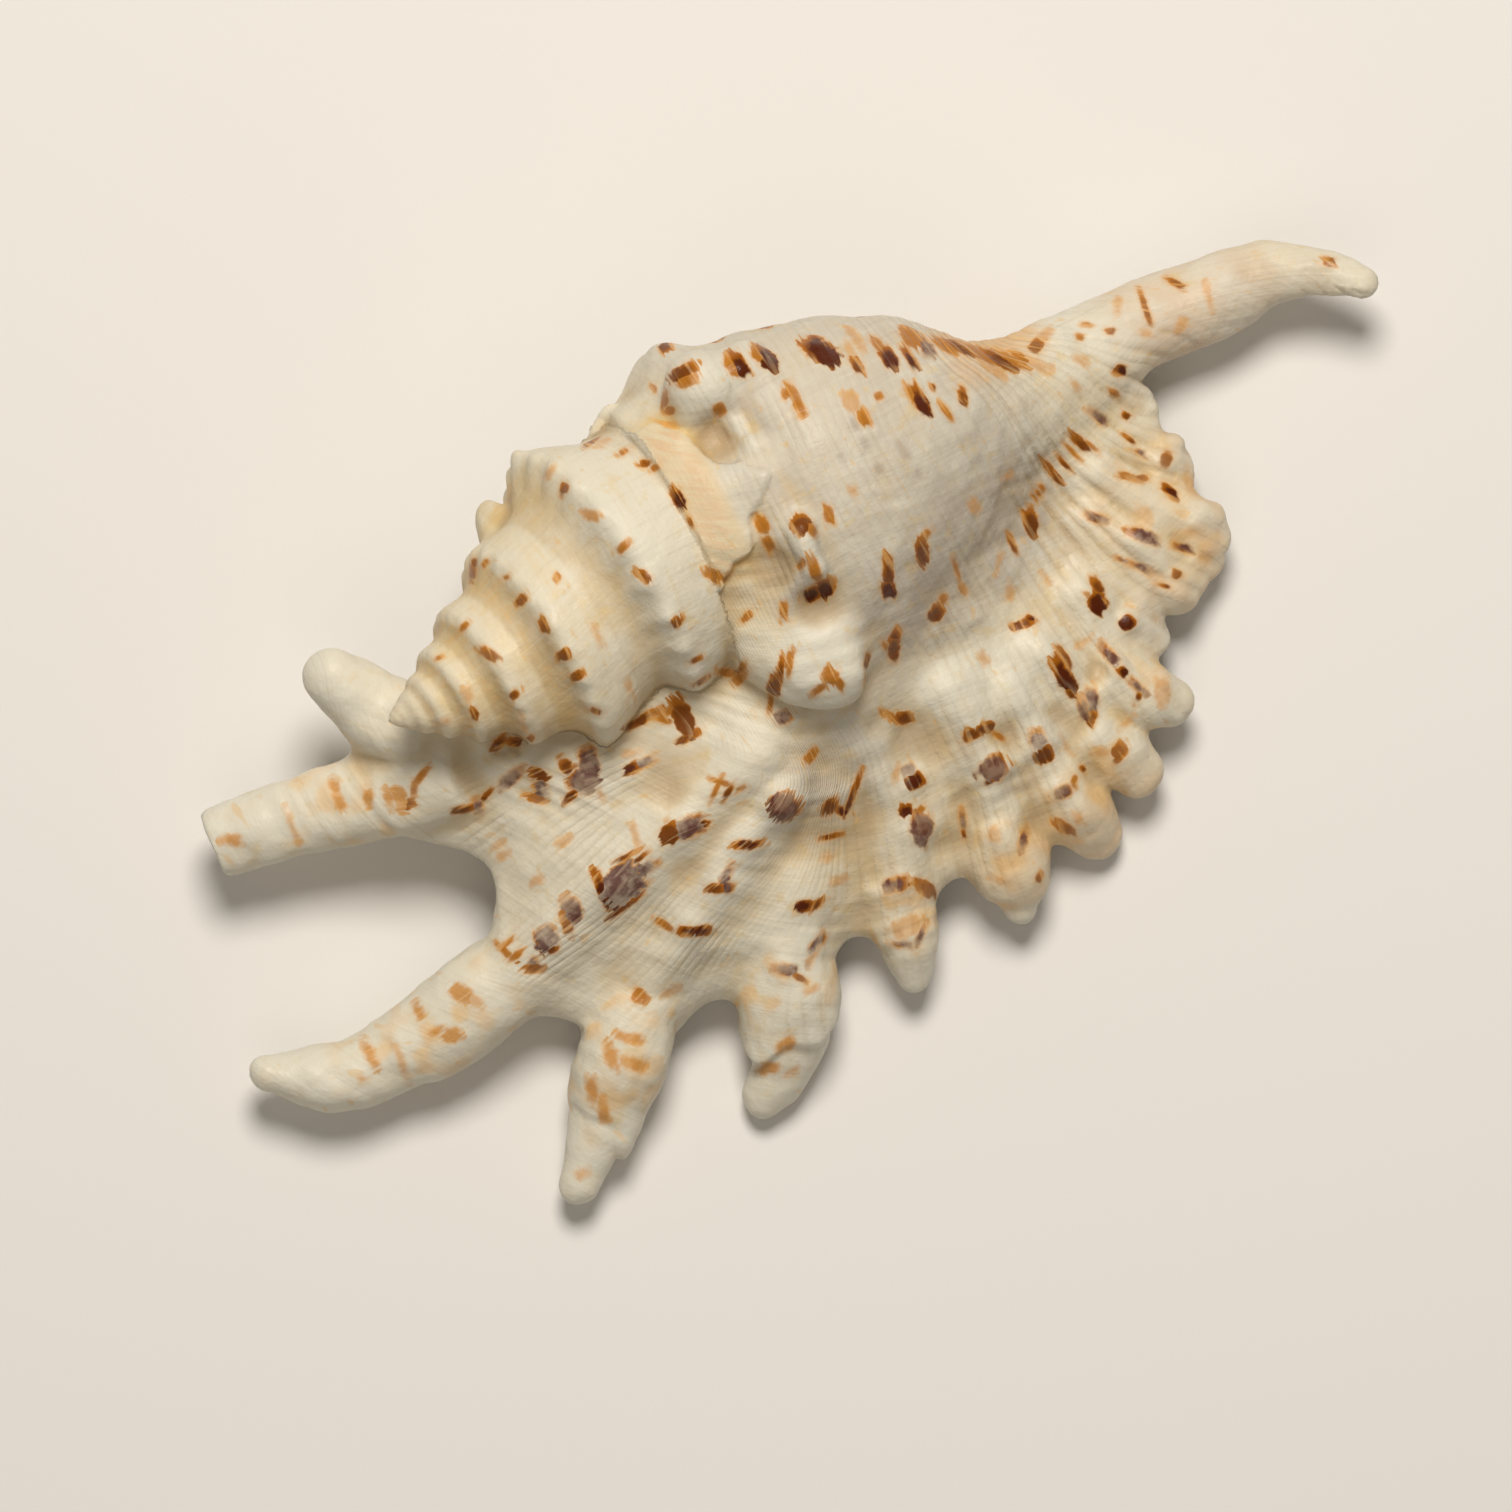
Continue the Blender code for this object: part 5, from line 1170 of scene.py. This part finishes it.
def base_tint(place, crowding):
    """Ground colour of the shell, region by region, under the marks."""
    x, y, z = place.x, place.y, place.z
    tint = np.ones((len(x), 3)) * CREAM

    def lay(colour, share):
        nonlocal tint
        share = np.clip(share, 0.0, 1.0)[:, None]
        tint = tint * (1.0 - share) + np.array(colour) * share

    patch = 0.5 + 0.5 * lattice_noise(x, y, z, size=7.0, seed=71)
    fine = 0.5 + 0.5 * lattice_noise(x, y, z, size=2.0, seed=72)

    # Back and flank.
    back = ease(0.0, 7.0, y) * ease(6.0, 12.0, x) * ease(46.0, 36.0, x)
    lay(DORSAL_GREY, 0.9 * back * (0.75 + 0.35 * patch))
    # Whiter lip behind the body: partly its own colour, partly painted light.
    lay(WHITE, 0.65 * ease(3.0, -6.0, x) * place.off_spire * (0.7 + 0.5 * patch))
    # Painted shade down the flank slope, over the shell's own grey there.
    from_flank = distance_to_path(x, y, FLANK_SHADE_LINE)[0]
    lay(GREY_AND_PAINTED_SHADE, 0.60 * np.exp(-(from_flank / 5.5)**4) * ease(45.0, 36.0, x) * place.on_back)
    # Painted shade in hollows, between folds and under the knobs.
    for px, py, reach, share in PAINTED_SHADE_SPOTS:
        spot = np.exp(-((x - px)**2 + (y - py)**2)**2 / reach**4)
        lay(GREY_AND_PAINTED_SHADE, share * spot * place.on_back)

    # Spire: browner ramps above the keels, partly painted shade, yellower towards the apex.
    far_spire = ease(-2.0, -24.0, x)
    ramp = place.on_spire * ease(0.44, 0.38, place.part) * ease(0.0, 0.06, place.part)
    lay(WHITE, 0.8 * place.on_spire * (1.0 - 0.6 * far_spire))
    lay(STRAW, place.on_spire * (0.04 + 0.56 * far_spire) * (0.6 + 0.6 * fine))
    # Darker tan low on the spire's side towards the lip.
    lay(TAN, 0.55 * place.on_spire * ease(-14.0, -21.0, x) * ease(18.5, 13.0, y) * (0.4 + fine))
    # Tan on the ramps: partly their own colour, partly painted shade.
    lay(TAN, ramp * (0.28 + 0.42 * ease(-5.0, -14.0, x)) * (0.5 + 0.6 * fine))
    lay(STRAW, ramp * 0.5 * ease(-5.0, -12.0, x) * patch)
    lay(STRAW, 0.40 * place.on_spire * ease(28.0, 35.0, y) * ease(-2.0, -7.0, x) * (0.5 + fine))

    # Edge of the lip, digits and canal.
    edge = np.maximum(ease(-17.0, -23.0, y) * ease(10.0, 20.0, x),
                      ease(40.0, 53.0, x) * ease(15.0, 4.0, y))
    lay(PEACH, 0.9 * edge * (0.35 + 0.7 * patch) * ease(53.0, 40.0, x + 0.2 * y))
    lay(PEACH, 0.4 * edge * patch)
    lay(HONEY, 0.70 * edge * ease(0.48, 0.80, fine))
    lay(PEACH, 0.75 * place.on_limb * ease(0.45, 0.80, fine) * ease(-5.0, -12.0, y))
    lay(PEACH, 0.60 * place.on_limb * ease(0.55, 0.85, fine) * ease(-34.0, -38.0, x))
    lay(WHITE, 0.8 * ease(45.0, 49.0, x) * ease(18.0, 22.0, y) * ease(58.0, 53.0, x))
    lay(PINK, 0.75 * ease(51.0, 58.0, x) * ease(14.0, 18.0, y) * ease(76.0, 66.0, x)
        * (0.55 + 0.6 * fine))
    tips = (ease(-44.0, -50.0, x) * ease(0.0, 5.0, y) + ease(-25.5, -29.0, y)
            + ease(-33.0, -35.0, x) * ease(20.0, 24.0, y)
            + ease(-51.0, -57.0, x) * ease(2.0, -4.0, y))
    inner_tip = ease(0.0, 2.0, -x - 0.45 * y - 45.6) * ease(-22.0, -25.0, y)
    lay(WHITE, 0.85 * place.on_limb * np.maximum(tips, inner_tip))

    # Yellow band below the last suture, and the orange neck.
    band = place.on_coil * place.off_spire * ease(10.5, 8.5, x) * ease(15.0, 20.0, y)
    lay(STRAW, 0.90 * band * ease(38.0, 35.0, y) * place.on_back)
    lay(HONEY, 0.55 * ease(35.0, 38.5, x) * ease(48.5, 45.0, x) * ease(22.5, 25.5, y))
    lay(PEACH, 0.8 * ease(49.0, 53.0, x) * ease(14.0, 9.0, y) * patch)
    lay(HONEY, 0.55 * band * ease(34.0, 31.0, y) * ease(21.0, 24.0, y) * fine)

    # Worn white places with painted light on the lip, grey speckles and flecks, and painted shade
    # in creases.
    for white_place in WHITE_AND_PAINTED_LIGHT_PLACES:
        lay(WHITE, 0.85 * blob(place, *white_place) * place.on_back)
    for px, low, high in GREY_COLUMNS:
        spots = np.exp(-((x - px) / 0.6)**2) * ease(low, low + 2.0, y) * ease(high, high - 2.0, y)
        spots = spots * ease(0.1, 0.5, lattice_noise(x, y, 0.0, size=1.3, seed=84))
        lay(GREY_AND_PAINTED_SHADE, 0.8 * spots * place.on_back)
    lay(FLECK, 0.16 * ease(0.45, 0.9, patch) * ease(0.3, 0.9, fine) * place.on_back)
    # Painted shade: straw and tan where the shell crowds round, in creases.
    lay(STRAW, 0.45 * ease(0.50, 0.58, crowding) * (0.4 + 0.6 * patch))
    lay(TAN, 2.2 * np.clip(crowding - 0.55, 0.0, 0.3) * (0.4 + place.on_spire))

    # Underside, mouth and dirt.
    lay(CREAM, 0.5 * place.under)
    from_slot = np.abs(y - 4.0 - 0.25 * np.maximum(0.0, x - 10.0))
    near_mouth = place.under * ease(9.0, 2.0, from_slot) * ease(-16.0, -10.0, x)
    near_mouth = near_mouth * ease(46.0, 40.0, x)
    stripe = ridges(place.cord, MOUTH_CORDS)
    lay(MOUTH_BROWN, np.maximum(place.in_mouth * 0.85, near_mouth * (1.0 - 0.75 * stripe)))
    lay(MOUTH_PALE, 0.45 * place.in_mouth * stripe)
    soil = np.exp(-place.in_pit(0.9)**3) * (place.up > -0.2)
    lay(SOIL, 0.9 * soil * (0.45 + 0.55 * ease(0.4, 0.6, fine)))
    return tint


# ---------------------------------------------------------------- mesh

SAVED_FIELDS = {"FLOAT": "value", "FLOAT_VECTOR": "vector", "FLOAT_COLOR": "color"}
PLAN_SHIFT = np.array([PLAN_CENTRE[0], PLAN_CENTRE[1], 0.0])


def save_value(mesh, name, values, kind="FLOAT"):
    attribute = mesh.attributes.new(name, kind, "POINT")
    attribute.data.foreach_set(SAVED_FIELDS[kind], np.asarray(values, np.float32).ravel())


def read_vertices(mesh, name):
    flat = np.empty(len(mesh.vertices) * 3)
    mesh.vertices.foreach_get(name, flat)
    return flat.reshape(-1, 3)


def thin_out(item, up, ratio):
    """Reduce the mesh to the given share of its triangles, mostly on the underside."""
    under = item.vertex_groups.new(name="underside")
    for share in (0.25, 0.5, 0.75, 1.0):
        low = np.nonzero(ease(0.05, -0.3, up) > share - 0.125)[0]
        under.add([int(k) for k in low], share, "REPLACE")
    thin = item.modifiers.new("thin_out", "DECIMATE")
    thin.ratio = ratio
    thin.vertex_group = "underside"
    thin.vertex_group_factor = 10.0
    thin.use_collapse_triangulate = True
    bpy.context.view_layer.update()
    graph = bpy.context.evaluated_depsgraph_get()
    mesh = bpy.data.meshes.new_from_object(item.evaluated_get(graph))
    item.modifiers.clear()
    item.vertex_groups.clear()
    item.data = mesh
    mesh.shade_smooth()


def save_fields(mesh, place, crowding, flow):
    """Store what the material needs to know at each vertex."""
    for number, layer in enumerate(mark_layers(place, flow)):
        save_value(mesh, f"mark_place_{number}", layer.where, "FLOAT_VECTOR")
        save_value(mesh, f"mark_kind_{number}", layer.kind, "FLOAT_COLOR")
    on_spire = place.on_spire > 0.5
    around = place.turn * 2.0 * math.pi * place.radius
    save_value(mesh, "cord", np.where(on_spire, place.s, place.cord))
    save_value(mesh, "stria", np.where(on_spire, place.s * 1.3, place.stria))
    save_value(mesh, "growth", np.where(on_spire, around, place.growth))
    save_value(mesh, "crease", crowding - 0.5)
    save_value(mesh, "inner", np.maximum(place.in_mouth, place.under))
    save_value(mesh, "ribs", rib_strength(place))
    save_value(mesh, "axial", axial_strength(place))
    tint = base_tint(place, crowding)
    save_value(mesh, "tint", np.append(tint, np.ones((len(tint), 1)), axis=1), "FLOAT_COLOR")


def make_shell():
    whole, parts = build_volume()
    flow = flow_tables()
    points, quads = surface_of(whole)
    normals = vertex_normals(points, quads)
    place = Place(points, normals, parts, flow)
    points = points + normals * sum(relief(place) for relief in RELIEFS)[:, None]
    points[:, 2] = np.maximum(points[:, 2], 0.0)

    mesh = bpy.data.meshes.new("spider_conch")
    mesh.from_pydata((points - PLAN_SHIFT) * MM, [], quads)
    item = bpy.data.objects.new("spider_conch", mesh)
    bpy.context.scene.collection.objects.link(item)
    thin_out(item, place.up, TRIANGLE_BUDGET / (2 * len(quads)))

    points = read_vertices(item.data, "co") / MM + PLAN_SHIFT
    place = Place(points, read_vertices(item.data, "normal"), parts, flow)
    save_fields(item.data, place, sample(crowding_block(whole), points), flow)
    return item


# ---------------------------------------------------------------- material

class Graph:
    """Short names for the nodes of one material."""

    def __init__(self, name):
        self.material = bpy.data.materials.new(name)
        self.material.use_nodes = True
        self.tree = self.material.node_tree
        self.surface = self.tree.nodes["Principled BSDF"]

    def put(self, socket, value):
        if isinstance(value, bpy.types.NodeSocket):
            self.tree.links.new(value, socket)
        else:
            socket.default_value = (*value, 1.0) if isinstance(value, tuple) else value

    def add(self, kind, inputs, output=0, **settings):
        """New node: its inputs by name or number, and the output that is wanted."""
        node = self.tree.nodes.new("ShaderNode" + kind)
        for name, value in settings.items():
            setattr(node, name, value)
        for name, value in inputs.items():
            self.put(node.inputs[name], value)
        return list(node.outputs) if output is None else node.outputs[output]

    def saved(self, name, output="Fac"):
        return self.add("Attribute", {}, output, attribute_name=name)

    def parts(self, value):
        return self.add("SeparateXYZ", {0: value}, None)

    def math(self, kind, a, b=0.0):
        return self.add("Math", {0: a, 1: b}, operation=kind)

    def times(self, *values):
        return functools.reduce(functools.partial(self.math, "MULTIPLY"), values)

    def plus(self, *values):
        return functools.reduce(functools.partial(self.math, "ADD"), values)

    def minus(self, a, b):
        return self.math("SUBTRACT", a, b)

    def noise(self, place, scale, detail, rough):
        return self.add("TexNoise", {"Vector": place, "Scale": scale, "Detail": detail,
                                     "Roughness": rough})

    def flow_noise(self, cord, cord_scale, growth, growth_scale, seed, detail, rough):
        place = self.add("CombineXYZ", {0: self.times(cord, cord_scale),
                                        1: self.times(growth, growth_scale), 2: seed})
        return self.noise(place, 1.0, detail, rough)

    def step(self, value, low, high, to_low=0.0, to_high=1.0):
        return self.add("MapRange", {"Value": value, "From Min": low, "From Max": high,
                                     "To Min": to_low, "To Max": to_high},
                        interpolation_type="SMOOTHSTEP")

    def shaken(self, value, noise, by):
        """The value, moved up or down by noise."""
        return self.plus(value, self.times(self.minus(noise, 0.5), by))

    def blend(self, share, below, above):
        return self.add("Mix", {"Factor": share, 6: below, 7: above}, 2, data_type="RGBA")

    def lay(self, ground, coats):
        """Lay colours over each other, each with its share."""
        for share, colour in coats:
            ground = self.blend(share, ground, colour)
        return ground


def nearest_mark(graph, fray, ragged):
    """Depth inside the nearest mark in millimetres, what kind it is and how far
    along it this place is, from -1 to 1."""
    best = None
    for number in range(MARK_LAYERS):
        along, across, shown = graph.parts(graph.saved(f"mark_place_{number}", "Vector"))
        here = graph.saved(f"mark_kind_{number}", "Color")
        half_width = graph.saved(f"mark_kind_{number}", "Alpha")
        along = graph.times(along, fray)
        across = graph.plus(across, ragged)
        powers = [graph.math("POWER", graph.math("ABSOLUTE", way), MARK_SQUARENESS)
                  for way in (along, across)]
        reach = graph.math("POWER", graph.plus(*powers), 1.0 / MARK_SQUARENESS)
        depth = graph.times(graph.minus(MARK_GROWTH, reach), half_width)
        depth = graph.minus(depth, graph.step(shown, 0.0, 1.0, 1.5, 0.0))
        if best is None:
            best, kind, side = depth, here, along
        else:
            nearer = graph.math("GREATER_THAN", depth, best)
            kind = graph.blend(nearer, kind, here)
            side = graph.plus(graph.times(side, graph.minus(1.0, nearer)),
                              graph.times(along, nearer))
            best = graph.math("MAXIMUM", best, depth)
    return best, graph.parts(kind), side


def shell_patterns(graph):
    """Saved values of the mesh and the patterns that are drawn from them, by name."""
    look = {name: graph.saved(name)
            for name in ("cord", "growth", "stria", "ribs", "crease", "axial", "inner")}
    for name, (across, scale, growth_scale, *noise) in FLOWING_NOISES.items():
        look[name] = graph.flow_noise(look[across], scale, look["growth"], growth_scale, *noise)
    place = graph.tree.nodes.new("ShaderNodeTexCoord").outputs["Object"]
    for name, noise in EVEN_NOISES.items():
        look[name] = graph.noise(place, *noise)
    uneven = graph.shaken(look["stria"], look["speck"], 0.35)
    look["wave"] = graph.math("ABSOLUTE", graph.math("SINE", graph.times(uneven, math.pi)))
    return SimpleNamespace(**look)


def ground_colour(graph, look):
    """Tint of the place with white, straw and tan over it; white stays off warm tints."""
    times, step = graph.times, graph.step
    tint = graph.saved("tint", "Color")
    red, _, blue = graph.parts(tint)
    plain = step(graph.minus(red, blue), 0.42, 0.26, 0.15, 1.0)
    groove = times(step(look.wave, 0.75, 0.0), look.ribs)
    return graph.lay(tint, [
        (times(step(look.cloud, 0.40, 0.70, 0.0, 0.55), plain), WHITE),
        (step(look.streak, 0.50, 0.8, 0.0, 0.30), STRAW),
        (times(step(look.hair, 0.54, 0.72, 0.0, 0.55), look.ribs, plain), WHITE),
        (times(step(look.hair, 0.46, 0.28, 0.0, 0.20), look.ribs), TAN),
        (times(step(look.rings, 0.46, 0.30, 0.0, 0.30), plain), WHITE),
        (step(look.mottle, 0.56, 0.72, 0.0, 0.40), STRAW),
        (times(step(look.short_ribs, 0.46, 0.58), look.axial, 0.75), HONEY),
        (step(look.rings, 0.52, 0.80, 0.0, 0.22), TAN),
        # Painted shade in the grooves between the cords.
        (times(groove, 0.20), TAN),
        # Painted shade in creases, and painted light on ridges.
        (step(look.crease, 0.02, 0.18, 0.0, 0.55), TAN),
        (step(look.crease, -0.03, -0.14, 0.0, 0.45), WHITE),
        (step(look.fleck, 0.66, 0.74, 0.0, 0.40), FLECK),
    ])


def lay_marks(graph, look, ground):
    """Marks on the ground, and how much they cover: amber at one end with a thin orange
    rim, chestnut or plum at the other, drawn in strokes along the cords."""
    times, plus, minus, step, shaken = (graph.times, graph.plus, graph.minus, graph.step,
                                        graph.shaken)
    fray = step(look.stroke, 0.30, 0.70, 0.66, 1.50)
    ragged = times(minus(look.speck, 0.5), 1.1)
    depth, (strength, dark, violet), side = nearest_mark(graph, fray, ragged)
    thin = times(violet, step(look.mottle, 0.64, 0.38, 0.02, 0.50))
    solid = times(minus(1.0, thin), step(strength, 0.0, 0.45))
    vague = graph.math("MAXIMUM", times(violet, 0.8), step(strength, 0.85, 0.30))
    soft = step(shaken(depth, look.mottle, 1.6), -0.35, 0.35)
    crisp = step(depth, -0.12, 0.14)
    edge = plus(times(soft, vague), times(crisp, minus(1.0, vague)))
    opacity = times(edge, solid, step(look.stroke, 0.34, 0.44, 0.80, 1.0))
    amber = times(step(depth, -0.08, 0.12, 0.25, 1.0), strength,
                  step(look.stroke, 0.34, 0.48, 0.35, 1.0))
    drawn = shaken(shaken(depth, look.stroke, 1.2), look.speck, 0.4)
    drawn = minus(drawn, times(side, 0.28))
    pigment = graph.lay(HONEY, [
        (amber, AMBER),
        (times(step(drawn, -0.08, 0.55), dark), CHESTNUT),
        (times(step(drawn, -0.10, 0.30), violet, 0.85), PLUM),
    ])
    halo = times(step(depth, -0.45, 0.05, 0.0, 0.34), strength)
    return graph.lay(ground, [(halo, HONEY), (opacity, pigment)]), opacity


def fine_relief(graph, look):
    """Normal bent by what is too fine for the mesh."""
    times, plus = graph.times, graph.plus
    ribbed = times(look.ribs, plus(times(look.wave, FINE_CORD), times(look.hair, FINE_HAIR)))
    ringed = plus(times(look.rings, FINE_RING), times(look.speck, FINE_SPECK))
    height = plus(ribbed, ringed, times(look.grain, FINE_GRAIN))
    return graph.add("Bump", {"Strength": 1.0, "Distance": MM, "Height": height})


def shell_material():
    graph = Graph("conch_shell")
    look = shell_patterns(graph)
    colour, opacity = lay_marks(graph, look, ground_colour(graph, look))
    rough = graph.minus(graph.step(look.cloud, 0.3, 0.7, 0.36, 0.54),
                        graph.times(look.inner, 0.10))
    rough = graph.minus(rough, graph.times(opacity, 0.08))
    for name, value in (("Base Color", colour), ("Roughness", rough), ("Metallic", 0.0),
                        ("Specular IOR Level", 0.22), ("Coat Weight", 0.02),
                        ("Coat Roughness", 0.20), ("Normal", fine_relief(graph, look))):
        graph.put(graph.surface.inputs[name], value)
    return graph.material


# ---------------------------------------------------------------- stage

FLOOR_SIZE = 3.0
FLOOR_DROP = 0.0002
FLOOR_COLOUR = (0.80, 0.79, 0.77, 1.0)
PHOTO_ROLL = 27.0
VIEW_WIDTH = 0.1588
CAMERA_HEIGHT = 1.2
MIDDLE_HEIGHT = 0.015
LOOK_AT = (-PLAN_CENTRE[0] * MM, -PLAN_CENTRE[1] * MM, 0.0)
# Lights: name, direction, distance, size, power and colour.
LIGHTS = [
    ("key", (0.42, 0.82, 1.75), 0.9, 0.32, 7.0, (1.0, 0.94, 0.86)),
    ("fill", (-0.5, -0.6, 1.6), 1.2, 0.9, 1.8, (1.0, 0.89, 0.76)),
]
STUDIO_COLOUR = (1.0, 0.92, 0.82, 1.0)
STUDIO_STRENGTH = 0.16


def place_in_scene(name, data):
    item = bpy.data.objects.new(name, data)
    bpy.context.scene.collection.objects.link(item)
    return item


def make_floor():
    bpy.ops.mesh.primitive_plane_add(size=FLOOR_SIZE, location=(0.0, 0.0, -FLOOR_DROP))
    floor = bpy.context.active_object
    floor.name = "floor"
    material = bpy.data.materials.new("pale_floor")
    material.use_nodes = True
    surface = material.node_tree.nodes["Principled BSDF"]
    surface.inputs["Base Color"].default_value = FLOOR_COLOUR
    surface.inputs["Roughness"].default_value = 0.8
    floor.data.materials.append(material)
    return floor


def make_camera():
    """Straight above the shell, turned so that the canal points up and right."""
    camera = bpy.data.cameras.new("camera")
    camera.sensor_width = 36.0
    camera.lens = camera.sensor_width * (CAMERA_HEIGHT - MIDDLE_HEIGHT) / VIEW_WIDTH
    camera.clip_start = 0.05
    item = place_in_scene("camera", camera)
    item.location = (LOOK_AT[0], LOOK_AT[1], CAMERA_HEIGHT)
    item.rotation_euler = (0.0, 0.0, math.radians(-PHOTO_ROLL))
    bpy.context.scene.camera = item


def make_lights():
    for name, direction, distance, size, power, colour in LIGHTS:
        light = bpy.data.lights.new(name, "AREA")
        light.color = colour
        light.shape = "DISK"
        light.size = size
        light.energy = power
        item = place_in_scene(name, light)
        way = Vector(direction).normalized()
        item.location = Vector(LOOK_AT) + way * distance
        item.rotation_euler = way.to_track_quat("Z", "Y").to_euler()
    world = bpy.data.worlds.new("studio")
    world.use_nodes = True
    background = world.node_tree.nodes["Background"]
    background.inputs["Color"].default_value = STUDIO_COLOUR
    background.inputs["Strength"].default_value = STUDIO_STRENGTH
    bpy.context.scene.world = world


def main():
    shell = make_shell()
    shell.data.materials.clear()
    shell.data.materials.append(shell_material())
    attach(shell, "root")
    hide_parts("shell")
    make_floor()
    make_camera()
    make_lights()
    bpy.context.scene.view_settings.view_transform = "Standard"


main()
